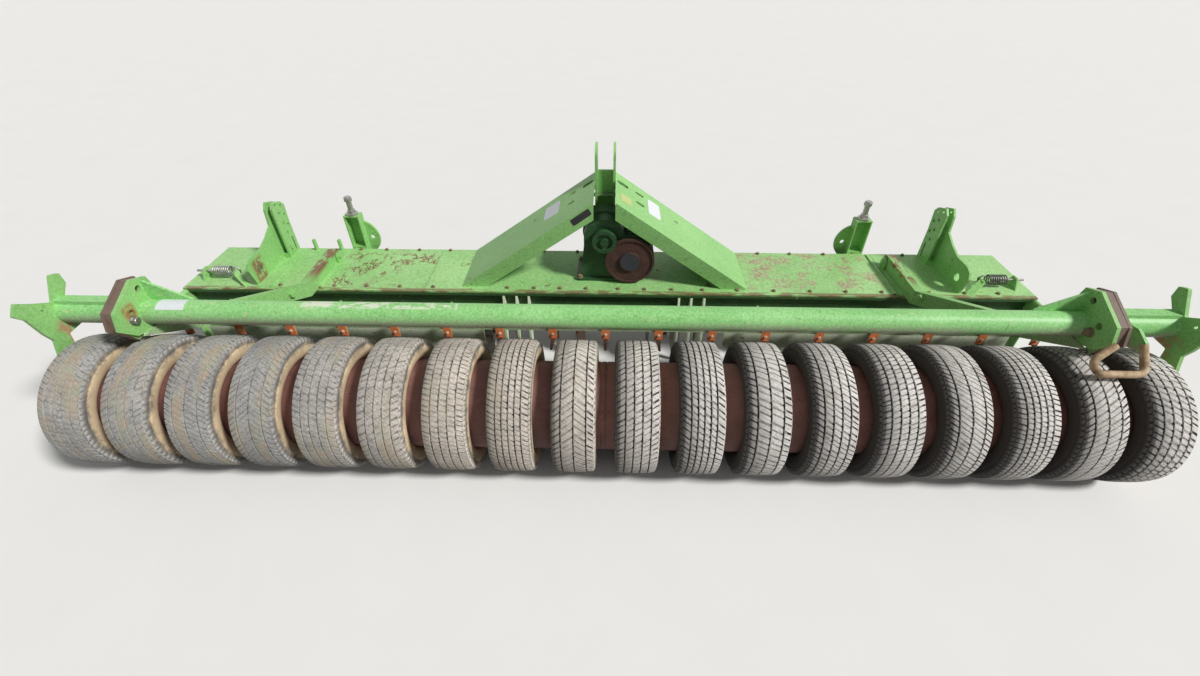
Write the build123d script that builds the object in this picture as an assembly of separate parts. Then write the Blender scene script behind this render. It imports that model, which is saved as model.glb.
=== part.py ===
"""Power harrow, 4 m wide, with a packer roller of 18 old car tyres behind it.

Millimetres. +X is to the right seen from behind, +Y is the way the harrow is towed and +Z
is up. The ground is Z = 0. Places below are measured from the packer's axle, Y = 0, and
every piece is moved back by MIDDLE_Y when it is written, so that the origin lies on the
ground under the middle of the machine.
"""
from build123d import *
import math
import os

# Tyre packer: 18 tyres pressed on one drum
TYRES = 18
TYRE_PITCH = 250
TYRE_RADIUS = 282
TREAD_WIDTH = 160
TYRE_WIDTH = 188
DRUM_RADIUS = 187
DRUM_END_GAP = 6
AXLE_RADIUS = 30
AXLE_PAST_PLATE = 16
RUNNING_FIT = 0.05

# Bearings and star-shaped end plates of the packer frame
BEARING_RADIUS = 62
BEARING_WIDTH = 24
BEARING_GAP = 8
END_PLATE = 15
BEARING_RIM = 10
PLATE_LEG_REAR = 40
PLATE_LEG_FRONT = 60
END_PLATE_HOLE = 45
STAR_CORNER = 6
STAR_HOLE = 8
STAR_HOLE_BACK = -84
STAR_HOLE_UP = 52
# Upper outline of an end plate: forward, up, from the tube's middle
STAR = (
    (-50, -83), (35, -77), (51, -5), (31, 55), (67, 93), (67, 140), (31, 151), (-27, 58),
    (-95, 99), (-145, 134), (-180, 95), (-151, 59), (-132, -27), (-115, -70),
)

# Carrier tube above the packer, in three lengths joined by flanges
TUBE_Y = 145
TUBE_ABOVE_TYRES = 81
TUBE_RADIUS = 51
TUBE_WALL = 8
STUB_LENGTH = 295
FLANGE = 15
SPACER = 30
OUTER_FLANGE = 12
FLANGE_HOLE = 14
TOP_HOLE_BACK = 10
TOP_HOLE_UP = 106
WORN_HOLE = 15
WORN_HOLE_BACK = -74
WORN_HOLE_UP = 42
# Outlines of the flange plates and of the spacer between them: forward, up, from the tube's middle
FLANGE_EDGE = (
    (2, 152), (70, 128), (92, 30), (84, -60), (20, -84), (-104, -48), (-162, 14), (-138, 84),
)
SPACER_EDGE = ((2, 150), (60, 128), (40, -30), (-96, -76), (-150, 10), (-136, 84))
TOP_STRIP_WIDTH = 46
TOP_STRIP = 10
GUSSET = 10
GUSSET_LENGTH = 180
GUSSET_RISE = 126
GUSSET_FORWARD = 38

# Arms that carry the packer frame on the trough
ARM_WIDTH = 40
ARM_HEIGHT = 70
ARM_X = 1441
ARM_TUBE_X = 1630
ARM_NOSE_Y = 800
ARM_KINK_Y = 480
ARM_LIFT = 0.3
ARM_PIN_RADIUS = 12
ARM_LUG = 10
ARM_LUG_RADIUS = 22
ARM_PIN_PAST = 8
ARM_SIDE_GAP = 3
ARM_SEAT = 0.1

# Scrapers, one in each gap between two tyres
SCRAPER_BAR = 30
SCRAPER_Y = 380
SCRAPER_Z = 415
SCRAPER_BAR_HALF = 2050
SCRAPER_SHIFT = -8
SCRAPER_WIDTH = 38
SCRAPER_PLATE = 7
SCRAPER_DROP = 44
# The blades are worn short: their tips stand well back from the drum
BLADE_WIDTH = 22
BLADE_TIP_WIDTH = 10
SCRAPER_GAP = 95
SCRAPER_TIP_ANGLE = 17
SCRAPER_STRUT = 10
# Upper end of a strut: forward, up, from the tube's middle
STRUT_TOP = ((-90, -60), (40, -54), (84, -56))

# Bent bar behind the right-hand flange
LOOP_BAR_RADIUS = 14
LOOP_SETBACK = 150
LOOP_LUG_OFFSET = 75
LOOP_Y = -92
LOOP_BELOW_TUBE = 59
LOOP_LEAN = 18
LOOP_BEND = 34
LOOP_LUG = 12
LOOP_START_BACK = -162
LOOP_START_UP = 18
LOOP_END_BACK = -150
LOOP_END_UP = 14
# Outline of the loop's lug: forward, up, from the tube's middle
LUG_EDGE = ((-20, -40), (-20, 40), (-100, 52), (-158, 26), (-172, -6), (-140, -20), (-60, -46))

# Gear trough of the harrow
HARROW_X = -20
TROUGH_MARGIN = 50
TROUGH_REAR = 536
TROUGH_FRONT = 940
TROUGH_TOP = 492
TROUGH_BOTTOM = 352
TROUGH_RIM = 25
TROUGH_RIM_THICKNESS = 14
TROUGH_CHAMFER = 28
COVER = 8
COVER_OVERHANG = 22
COVER_GAP = 3
COVER_SEAMS = (-1380, -880, 1420)
SEAM_STRIPS = (-1640, -1395, 1400)
SEAM_STRIP_WIDTH = 12
SEAM_STRIP_HEIGHT = 7
SEAM_STRIP_INSET = 14

# Rotors under the trough
ROTORS = 16
ROTOR_PITCH = 250
ROTOR_Y = 738
NECK_RADIUS = 78
NECK_BOTTOM = 302
ROTOR_GAP = 4
SHAFT_RADIUS = 28
SHAFT_DEPTH = 34
HOLDER_RADIUS = 60
HOLDER_THICKNESS = 34
HOLDER_WIDTH = 46
ROTOR_NUT = 18
TINE_CIRCLE = 114
TINE_SOCKET_WALL = 10
TINE_BEVEL = 12
TINE_EDGE = 4
# Sections of a tine: share of the way down, leading edge, trailing edge, thickness
TINE_SECTIONS = ((0, 25, 25, 18), (0.4, 25, 27, 18), (0.82, 8, 32, 15), (1, -12, 38, 10))

# Headstock
LEG_FOOT_X = 700
LEG_TOP_X = 50
LEG_TOP_Z = 926
LEG_REAR_FOOT_Y = 578
LEG_REAR_TOP_Y = 621
LEG_FRONT_FOOT_Y = 936
LEG_FRONT_TOP_Y = 985
LEG_PLATE = 10
LEG_DEPTH = 70
# Slots in a leg's top face: share of its length, place along Y, length, width
LEG_SLOTS = ((0.945, 885, 66, 34), (0.818, 890, 50, 24), (0.818, 781, 50, 24), (0.53, 843, 26, 14))
LINK_GAP = 76
LINK_PLATE = 12
LINK_REAR = 868
LINK_FRONT = 1002
LINK_BOTTOM = 700
LINK_ABOVE_HOLE = 44
LINK_CORNER = 34
LINK_NOSE = 110
LINK_FOOT = 80
CROSS_PLATE = 10
CROSS_PLATE_Y = 908
CROSS_PLATE_BOTTOM = 762
CROSS_PLATE_TOP = 968
CROSS_PINS = (784, 850)
CROSS_PIN_Y = 884
CROSS_PIN_RADIUS = 9
CROSS_PIN_PAST = 20
TOP_LINK_HOLE = 12.7
TOP_LINK_Y = 952
TOP_LINK_Z = 1034
LOW_HOLE_BACK = 12
LOW_HOLE_DROP = 66
LOWER_LINK_SPREAD = 825
LOWER_PIN_HOLE = 14.3
LOWER_PIN_Y = 1050
LOWER_PIN_Z = 425
LOWER_CHEEK = 15
LOWER_CHEEK_GAP = 70
LOWER_CHEEK_NOSE = 34
CHEEK_RISE = 50
CHEEK_TOP = 60
CHEEK_CHIN = 44

# Gearbox
BOX_RADIUS = 98
BOX_SPREAD = 22
BOX_SPLIT = 8
BOX_FOOT = 15
BOX_FOOT_MARGIN = 16
BOX_REAR = 660
BOX_FRONT = 826
DRIVE_Z = 728
DRIVE_RADIUS = 17.5
DRIVE_END = 1000
DRIVE_SEAT = 36
SHAFT_END_GAP = 4
DRIVE_COLLAR = 12
DRIVE_COLLAR_RIM = 7
BOSS_RADIUS = 58
BOSS_RECESS = 40
BOSS_RECESS_DEPTH = 12
BOSS_HUB = 20
BOSS_HUB_PAST = 6
REAR_BOSS_LENGTH = 40
FRONT_BOSS_RADIUS = 60
FRONT_BOSS_LENGTH = 30
SIDE_DRUM_X = 124
SIDE_DRUM_Z = 627
SIDE_DRUM_RADIUS = 118
SIDE_DRUM_LENGTH = 140
SIDE_DRUM_STEP = 20
GEAR_COVER = 22
GEAR_COVER_RIM = 10
GEAR_COVER_DISH = 6
GEAR_COVER_HUB = 48
COVER_CLEARANCE = 0.5
DRUM_RIBS = 5
DRUM_RIB_HEIGHT = 9
DRUM_RIB_SHARE = 0.4

# Depth quadrants on the trough
QUADRANT_X = 1673
QUADRANT_PLATE = 10
QUADRANT_SLOT = 26
QUADRANT_HOLE = 8
QUADRANT_PIVOT = 20
QUADRANT_SPACER = 44
PIVOT_Y = 630
PIVOT_UP = 56
# Outlines and holes of the two plates: place along Y, height above the cover
QUADRANT_OUTER = (
    (570, 0), (546, 90), (562, 120), (596, 134), (690, 134), (760, 158), (826, 192), (838, 270),
    (862, 302), (925, 280), (948, 255), (938, 0),
)
QUADRANT_INNER = ((838, 0), (836, 276), (862, 302), (925, 280), (948, 255), (938, 150), (938, 0))
QUADRANT_HOLES = (
    (872, 281), (914, 262), (880, 231), (918, 210), (886, 175), (918, 154), (890, 121),
)
# Window near the inner plate's foot: place along Y, height above the cover, length, width
QUADRANT_WINDOW = (908, 14, 74, 16)

# Brackets and pegs on the front edge
FRONT_BRACKET_X = 1340
POST_WIDTH = 80
POST_DEPTH = 56
POST_TOP = 690
POST_BOTTOM = 372
POST_WALL = 6
POST_LIP_Z = 506
LUG_RADIUS = 100
LUG_INSET = 36
LUG_PLATE = 12
LUG_Z = 548
LUG_HOLE = 12
SPINDLE_RADIUS = 14
SPINDLE_TOP = 790
SPINDLE_WASHER = 30
SPINDLE_WASHER_THICKNESS = 10
SPINDLE_NUT = 22
SPINDLE_NUT_HEIGHT = 16
PEGS = (-1573, -1436)
PEG_RADIUS = 10
PEG_TOP = 560
PEG_Y = 926

# Ribs, levelling boards, side shields and their springs
RIBS = (367, 427, 490)
RIB = 10
RIB_REACH = 76
RIB_DROP = 138
RIB_FOOT_HEIGHT = 90
BOARD_Y = 452
BOARD_BOTTOM = 196
BOARD_TOP = 338
BOARD = 8
BOARD_LIP = 26
BOARD_SETBACK = 85
BOARD_INNER = 590
BOARD_SLANT = 65
HANGERS = (760, 1320, 1880)
HANGER = 10
HANGER_DEPTH = 52
HANGER_DROP = 72
SHIELD = 6
SHIELD_REAR = 492
SHIELD_FRONT = 985
SHIELD_BOTTOM = 70
SHIELD_NOSE = 40
SHIELD_SLOPE = 120
SHIELD_TUBE_RADIUS = 14
SPRING_Y = 640
SPRING_Z = 537
SPRING_RADIUS = 27
SPRING_WIRE = 4
SPRING_LENGTH = 94
SPRING_SETBACK = 92
SPRING_COILS = 9
EYE_RADIUS = 21
EYE_PIN_RADIUS = 8
EYE_BAR_WIDTH = 30
EYE_BAR_FOOT_X = 1762
EYE_BAR_FOOT_Y = 566
EYEBOLT_GAP = 0.3
EYEBOLT_RADIUS = 6
EYEBOLT_SETBACK = 8
BRACKET_SETBACK = 54
BRACKET = 8
BRACKET_HEAD = 16
BRACKET_FOOT = 42

# Derived places
TROUGH_HALF = ROTORS * ROTOR_PITCH / 2 + TROUGH_MARGIN
COVER_TOP = TROUGH_TOP + COVER
ARM_Z = COVER_TOP + ARM_LIFT + ARM_HEIGHT / 2
DRUM_HALF = TYRES / 2 * TYRE_PITCH - TYRE_PITCH / 2 + TYRE_WIDTH / 2 + DRUM_END_GAP
BEARING_X = DRUM_HALF + BEARING_GAP
PLATE_X = BEARING_X + BEARING_WIDTH
AXLE_END = PLATE_X + END_PLATE + AXLE_PAST_PLATE
STUB_X = PLATE_X - STUB_LENGTH
TUBE_HALF = STUB_X - OUTER_FLANGE - SPACER - FLANGE
TUBE_Z = 2 * TYRE_RADIUS + TUBE_ABOVE_TYRES
LOOP_Z = TUBE_Z - LOOP_BELOW_TUBE
LOOP_INNER_X = TUBE_HALF - LOOP_SETBACK
LOOP_OUTER_X = STUB_X + LOOP_LUG_OFFSET
LINK_TOP = TOP_LINK_Z + LINK_ABOVE_HOLE
WALL_REAR = TROUGH_REAR + TROUGH_RIM
WALL_FRONT = TROUGH_FRONT - TROUGH_RIM
COLLAR_Y = BOX_FRONT + FRONT_BOSS_LENGTH + SHAFT_END_GAP
ROTOR_TOP = NECK_BOTTOM - ROTOR_GAP
HOLDER_BOTTOM = ROTOR_TOP - HOLDER_THICKNESS
SHIELD_X = TROUGH_HALF
SPRING_OUTER_X = TROUGH_HALF - SPRING_SETBACK
SPRING_INNER_X = SPRING_OUTER_X - SPRING_LENGTH
EYE_X = SPRING_INNER_X - EYE_RADIUS + SPRING_WIRE / 2
EYE_PIN_X = EYE_X - EYE_RADIUS + SPRING_WIRE + EYE_PIN_RADIUS + EYEBOLT_GAP
EYEBOLT_END = TROUGH_HALF - EYEBOLT_SETBACK
BRACKET_X = TROUGH_HALF - BRACKET_SETBACK
BOARD_OUTER = TROUGH_HALF - BOARD_SETBACK
SHIELD_TUBE_Z = TROUGH_TOP - SHIELD_TUBE_RADIUS - 0.3
MIDDLE_Y = (LOWER_PIN_Y + LOWER_CHEEK_NOSE - TYRE_RADIUS) / 2


def turned(radius, x0, x1, y, z):
    """A round bar along X from x0 to x1."""
    length = x1 - x0
    return Pos((x0 + x1) / 2, y, z) * Rot(0, 90, 0) * Cylinder(radius, length)


def along_y(radius, y0, y1, x, z):
    """A round bar along Y from y0 to y1."""
    return Pos(x, (y0 + y1) / 2, z) * Rot(90, 0, 0) * Cylinder(radius, y1 - y0)


def upright(radius, z0, z1, x, y):
    """A round bar along Z from z0 to z1."""
    return Pos(x, y, (z0 + z1) / 2) * Cylinder(radius, z1 - z0)


def block(x0, x1, y0, y1, z0, z1):
    """A box between two corners."""
    return Pos((x0 + x1) / 2, (y0 + y1) / 2, (z0 + z1) / 2) * Box(x1 - x0, y1 - y0, z1 - z0)


def side_plate(points, x0, x1, holes=()):
    """A plate cut to an outline in the Y-Z plane, from x0 to x1, with round holes."""
    outline = make_face(Polyline(*points, close=True))
    for y, z, radius in holes:
        outline -= Pos(y, z) * Circle(radius)
    return Plane((x0, 0, 0), x_dir=(0, 1, 0), z_dir=(1, 0, 0)) * extrude(outline, x1 - x0)


def mirrored(shape):
    """The same piece on the other side of X = 0."""
    return mirror(shape, Plane.YZ)


def tyre_roller():
    """Drum, tyres and stub axles as one turned body: one outline spun about the axle."""
    outline = [(-AXLE_END, 0), (-AXLE_END, AXLE_RADIUS), (-DRUM_HALF, AXLE_RADIUS)]
    outline.append((-DRUM_HALF, DRUM_RADIUS))
    for index in range(TYRES):
        middle = (index - (TYRES - 1) / 2) * TYRE_PITCH
        outline += [
            (middle - TYRE_WIDTH / 2, DRUM_RADIUS),
            (middle - TREAD_WIDTH / 2, TYRE_RADIUS),
            (middle + TREAD_WIDTH / 2, TYRE_RADIUS),
            (middle + TYRE_WIDTH / 2, DRUM_RADIUS),
        ]
    outline.append((DRUM_HALF, DRUM_RADIUS))
    outline += [(DRUM_HALF, AXLE_RADIUS), (AXLE_END, AXLE_RADIUS), (AXLE_END, 0)]
    face = make_face(Polyline(*outline, close=True))
    spun = revolve(face, Axis.X)
    return Pos(0, 0, TYRE_RADIUS) * spun


def bearing(side):
    """A round flange bearing between the drum and the end plate."""
    shape = turned(BEARING_RADIUS, BEARING_X, PLATE_X, 0, TYRE_RADIUS)
    shape -= turned(AXLE_RADIUS + RUNNING_FIT, BEARING_X - 1, PLATE_X + 1, 0, TYRE_RADIUS)
    return shape if side > 0 else mirrored(shape)


def end_plate(side):
    """A star-shaped plate with a horn and three spikes, on a leg that reaches down to the bearing."""
    star = [(TUBE_Y + back, TUBE_Z + up) for back, up in STAR]
    leg = [(-BEARING_RADIUS, TYRE_RADIUS + PLATE_LEG_REAR), (-BEARING_RADIUS, TYRE_RADIUS),
           (BEARING_RADIUS, TYRE_RADIUS), (BEARING_RADIUS, TYRE_RADIUS + PLATE_LEG_FRONT)]
    face = make_face(Polyline(*star, *leg, close=True))
    upper = [corner for corner in face.vertices() if corner.Y > TYRE_RADIUS + 2 * BEARING_RADIUS]
    face = fillet(upper, STAR_CORNER)
    face += Pos(0, TYRE_RADIUS) * Circle(BEARING_RADIUS + BEARING_RIM)
    face -= Pos(0, TYRE_RADIUS) * Circle(END_PLATE_HOLE)
    face -= Pos(TUBE_Y + STAR_HOLE_BACK, TUBE_Z + STAR_HOLE_UP) * Circle(STAR_HOLE)
    frame = Plane((PLATE_X, 0, 0), x_dir=(0, 1, 0), z_dir=(1, 0, 0))
    shape = frame * extrude(face, END_PLATE)
    return shape if side > 0 else mirrored(shape)


def about_tube(rows):
    """Points of an outline given from the tube's middle."""
    return [(TUBE_Y + back, TUBE_Z + up) for back, up in rows]


def carrier_tube():
    """The long middle tube with a sloping gusset at each end."""
    tube = turned(TUBE_RADIUS, -TUBE_HALF, TUBE_HALF, TUBE_Y, TUBE_Z)
    foot = TUBE_Z + math.sqrt(TUBE_RADIUS ** 2 - GUSSET_FORWARD ** 2) - TUBE_WALL / 2
    for side in (-1, 1):
        gusset = Polyline(
            (side * TUBE_HALF, foot), (side * (TUBE_HALF - GUSSET_LENGTH), foot),
            (side * (TUBE_HALF - GUSSET_LENGTH), foot + GUSSET),
            (side * (TUBE_HALF - GUSSET), TUBE_Z + GUSSET_RISE),
            (side * TUBE_HALF, TUBE_Z + GUSSET_RISE), close=True,
        )
        y = TUBE_Y + GUSSET_FORWARD
        plate = Plane((0, y + GUSSET / 2, 0), x_dir=(1, 0, 0), z_dir=(0, -1, 0))
        tube += plate * extrude(make_face(gusset), GUSSET)
    tube -= turned(TUBE_RADIUS - TUBE_WALL, -TUBE_HALF, TUBE_HALF, TUBE_Y, TUBE_Z)
    return tube


def tube_flange(side):
    """Inner flange plate, thick spacer and outer flange plate, bolted together."""
    top_hole = (TUBE_Y + TOP_HOLE_BACK, TUBE_Z + TOP_HOLE_UP, FLANGE_HOLE)
    worn_hole = (TUBE_Y + WORN_HOLE_BACK, TUBE_Z + WORN_HOLE_UP, WORN_HOLE)
    inner_end = TUBE_HALF + FLANGE
    spacer_end = inner_end + SPACER
    inner = side_plate(about_tube(FLANGE_EDGE), TUBE_HALF, inner_end, [top_hole, worn_hole])
    spacer = side_plate(about_tube(SPACER_EDGE), inner_end, spacer_end, [top_hole])
    outer = side_plate(about_tube(FLANGE_EDGE), spacer_end, STUB_X, [top_hole])
    shape = inner + spacer + outer
    return shape if side > 0 else mirrored(shape)


def stub_tube(side):
    """Short tube from the outer flange to the end plate, with a flat strip along its top."""
    shape = turned(TUBE_RADIUS, STUB_X, PLATE_X, TUBE_Y, TUBE_Z)
    top = TUBE_Z + TUBE_RADIUS
    shape += block(STUB_X, PLATE_X, TUBE_Y - TOP_STRIP_WIDTH / 2, TUBE_Y + TOP_STRIP_WIDTH / 2,
                   top - TUBE_WALL, top + TOP_STRIP)
    if side > 0:
        shape += side_plate(about_tube(LUG_EDGE), LOOP_OUTER_X - LOOP_LUG / 2,
                            LOOP_OUTER_X + LOOP_LUG / 2)
    shape -= turned(TUBE_RADIUS - TUBE_WALL, STUB_X, PLATE_X, TUBE_Y, TUBE_Z)
    return shape if side > 0 else mirrored(shape)


def arm_section(x, y, z):
    """Rectangular section of an arm, square to Y."""
    plane = Plane((x, y, z), x_dir=(1, 0, 0), z_dir=(0, 1, 0))
    return plane * Rectangle(ARM_WIDTH, ARM_HEIGHT)


def arm(side):
    """Flat bar on edge from the nose pin back over the trough, then out and up to the tube."""
    near, far = ARM_X - ARM_WIDTH / 2, ARM_X + ARM_WIDTH / 2
    shape = block(near, far, ARM_KINK_Y, ARM_NOSE_Y, ARM_Z - ARM_HEIGHT / 2, ARM_Z + ARM_HEIGHT / 2)
    shape += turned(ARM_HEIGHT / 2, near, far, ARM_NOSE_Y, ARM_Z)
    kink = arm_section(ARM_X, ARM_KINK_Y, ARM_Z)
    tube = arm_section(ARM_TUBE_X, TUBE_Y, TUBE_Z)
    shape += loft([tube, kink], ruled=True)
    shape -= turned(ARM_PIN_RADIUS + RUNNING_FIT, near - 1, far + 1, ARM_NOSE_Y, ARM_Z)
    shape -= turned(TUBE_RADIUS + ARM_SEAT, near, TUBE_HALF, TUBE_Y, TUBE_Z)
    shape = shape.solids().sort_by(SortBy.VOLUME)[-1]
    return shape if side > 0 else mirrored(shape)


def arm_lugs():
    """Two low lugs and a pin for each arm's nose, on the cover."""
    inner = ARM_X - ARM_WIDTH / 2 - ARM_SIDE_GAP
    outer = ARM_X + ARM_WIDTH / 2 + ARM_SIDE_GAP
    past = ARM_LUG + ARM_PIN_PAST
    shape = turned(ARM_PIN_RADIUS, inner - past, outer + past, ARM_NOSE_Y, ARM_Z)
    for start in (inner - ARM_LUG, outer):
        shape += block(start, start + ARM_LUG, ARM_NOSE_Y - ARM_LUG_RADIUS,
                       ARM_NOSE_Y + ARM_LUG_RADIUS, COVER_TOP, ARM_Z)
        shape += turned(ARM_LUG_RADIUS, start, start + ARM_LUG, ARM_NOSE_Y, ARM_Z)
    return Compound([shape, mirrored(shape)])


def scraper_bar():
    """Square bar in front of the tyres."""
    half = SCRAPER_BAR / 2
    return block(-SCRAPER_BAR_HALF, SCRAPER_BAR_HALF, SCRAPER_Y - half, SCRAPER_Y + half,
                 SCRAPER_Z - half, SCRAPER_Z + half)


def scraper_struts():
    """Two struts that hang the scraper bar from the tube's flanges."""
    half = SCRAPER_BAR / 2
    strut = side_plate(
        [*about_tube(STRUT_TOP), (SCRAPER_Y + half, SCRAPER_Z + half),
         (SCRAPER_Y - half, SCRAPER_Z + half), (SCRAPER_Y - half, SCRAPER_Z - half)],
        TUBE_HALF - SCRAPER_STRUT, TUBE_HALF,
    )
    return Compound([strut, mirrored(strut)])


def scrapers():
    """Orange clips that hook over the bar, each with a tapered blade back towards the drum."""
    half = SCRAPER_BAR / 2
    rear, front = SCRAPER_Y - half, SCRAPER_Y + half
    top, low = SCRAPER_Z + half, SCRAPER_Z - half - SCRAPER_DROP
    t = SCRAPER_PLATE
    clip = [
        (front + t, SCRAPER_Z), (front + t, top + t), (rear - t, top + t), (rear - t, low),
        (rear, low), (rear, top), (front, top), (front, SCRAPER_Z),
    ]
    reach = DRUM_RADIUS + SCRAPER_GAP
    tip_y = reach * math.cos(math.radians(SCRAPER_TIP_ANGLE))
    tip_z = TYRE_RADIUS + reach * math.sin(math.radians(SCRAPER_TIP_ANGLE))
    root = Plane((0, rear - t / 2, low + t / 2), x_dir=(1, 0, 0), z_dir=(0, -1, 0))
    tip = Plane((0, tip_y, tip_z), x_dir=(1, 0, 0), z_dir=(0, -1, 0))
    blade = loft([root * Rectangle(BLADE_WIDTH, t), tip * Rectangle(BLADE_TIP_WIDTH, t)], ruled=True)
    pieces = []
    for index in range(TYRES - 1):
        x = (index - (TYRES - 2) / 2) * TYRE_PITCH + SCRAPER_SHIFT
        piece = side_plate(clip, x - SCRAPER_WIDTH / 2, x + SCRAPER_WIDTH / 2)
        piece += Pos(x, 0, 0) * blade
        pieces.append(piece)
    return Compound(pieces)


def hitch_loop():
    """Round bar bent to a U behind the right-hand flange, ending on the flange and the lug."""
    start_y, start_z = TUBE_Y + LOOP_START_BACK, TUBE_Z + LOOP_START_UP
    end_y, end_z = TUBE_Y + LOOP_END_BACK, TUBE_Z + LOOP_END_UP
    path = FilletPolyline(
        (TUBE_HALF + FLANGE, start_y, start_z), (LOOP_INNER_X, LOOP_Y, LOOP_Z),
        (LOOP_OUTER_X - LOOP_LEAN, LOOP_Y, LOOP_Z), (LOOP_OUTER_X, end_y, end_z), radius=LOOP_BEND,
    )
    section = Plane(path @ 0, z_dir=path % 0) * Circle(LOOP_BAR_RADIUS)
    bar = sweep(section, path=path)
    bar -= tube_flange(1)
    bar -= stub_tube(1)
    return bar.solids().sort_by(SortBy.VOLUME)[-1]


def gear_trough():
    """Trough with a bolting rim, chamfered floor, end plates and the rotors' bearing necks."""
    r, f = WALL_REAR, WALL_FRONT
    rim = TROUGH_TOP - TROUGH_RIM_THICKNESS
    outline = [
        (TROUGH_REAR, TROUGH_TOP), (TROUGH_FRONT, TROUGH_TOP), (TROUGH_FRONT, rim), (f, rim),
        (f, TROUGH_BOTTOM + TROUGH_CHAMFER), (f - TROUGH_CHAMFER, TROUGH_BOTTOM),
        (r + TROUGH_CHAMFER, TROUGH_BOTTOM), (r, TROUGH_BOTTOM + TROUGH_CHAMFER), (r, rim),
        (TROUGH_REAR, rim),
    ]
    body = side_plate(outline, HARROW_X - TROUGH_HALF, HARROW_X + TROUGH_HALF)
    for index in range(ROTORS):
        x = rotor_x(index)
        body += upright(NECK_RADIUS, NECK_BOTTOM, TROUGH_BOTTOM + 2, x, ROTOR_Y)
        body -= upright(SHAFT_RADIUS + RUNNING_FIT, NECK_BOTTOM - 1, NECK_BOTTOM + SHAFT_DEPTH,
                        x, ROTOR_Y)
    return body


def trough_cover():
    """Flat cover plates side by side, with low strips that stop at the arms' lugs."""
    ends = [-TROUGH_HALF - COVER_OVERHANG, *COVER_SEAMS, TROUGH_HALF + COVER_OVERHANG]
    plates = []
    for start, stop in zip(ends, ends[1:]):
        plate = block(HARROW_X + start + COVER_GAP / 2, HARROW_X + stop - COVER_GAP / 2,
                      TROUGH_REAR, TROUGH_FRONT, TROUGH_TOP, COVER_TOP)
        for x in SEAM_STRIPS:
            if start + SEAM_STRIP_WIDTH < x < stop - SEAM_STRIP_WIDTH:
                plate += block(HARROW_X + x - SEAM_STRIP_WIDTH / 2,
                               HARROW_X + x + SEAM_STRIP_WIDTH / 2,
                               TROUGH_REAR + SEAM_STRIP_INSET, TROUGH_FRONT - SEAM_STRIP_INSET,
                               COVER_TOP, COVER_TOP + SEAM_STRIP_HEIGHT)
        plates.append(plate - arm_lugs())
    return Compound(plates)


def rotor_x(index):
    """Place of one rotor along the trough."""
    return HARROW_X + (index - (ROTORS - 1) / 2) * ROTOR_PITCH


def tine():
    """Knife tine: flat shank that thins, narrows and trails downwards, sharp in front."""
    sections = []
    for drop, lead, trail, thickness in TINE_SECTIONS:
        outline = [(-thickness / 2, -trail), (thickness / 2, -trail),
                   (thickness / 2, lead - TINE_BEVEL), (TINE_EDGE / 2, lead),
                   (-TINE_EDGE / 2, lead), (-thickness / 2, lead - TINE_BEVEL)]
        plane = Plane((0, 0, HOLDER_BOTTOM * (1 - drop)))
        sections.append(plane * make_face(Polyline(*outline, close=True)))
    return loft(sections, ruled=True)


def rotor(index):
    """Rotor: shaft, waisted holder with a socket at each end, nut below, and two knife tines."""
    reach = TINE_CIRCLE + TINE_SECTIONS[0][3] / 2 + TINE_SOCKET_WALL
    socket = TINE_SECTIONS[0][1] + TINE_SOCKET_WALL
    inside = 2 * TINE_CIRCLE - reach
    side = [(0, HOLDER_WIDTH / 2 + SHAFT_RADIUS / 2), (HOLDER_RADIUS, HOLDER_WIDTH / 2),
            (inside, socket), (reach, socket)]
    outline = side + [(x, -y) for x, y in reversed(side)]
    half = make_face(Polyline(*outline, close=True))
    holder = half + mirror(half, Plane.YZ) + Circle(HOLDER_RADIUS)
    shape = Pos(0, 0, HOLDER_BOTTOM) * extrude(holder, HOLDER_THICKNESS)
    blade = Pos(TINE_CIRCLE, 0, 0) * tine()
    if index % 2 == 1:
        blade = mirror(blade, Plane.XZ)
    shape += blade
    shape += Rot(0, 0, 180) * blade
    shape += upright(SHAFT_RADIUS, ROTOR_TOP - 1, NECK_BOTTOM + SHAFT_DEPTH - ROTOR_GAP, 0, 0)
    nut = extrude(RegularPolygon(SHAFT_RADIUS + ROTOR_GAP, 6), ROTOR_NUT)
    shape += Pos(0, 0, HOLDER_BOTTOM - ROTOR_NUT) * nut
    turn = 0 if index % 2 == 0 else 90
    return Pos(rotor_x(index), ROTOR_Y, 0) * Rot(0, 0, turn) * shape


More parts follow.
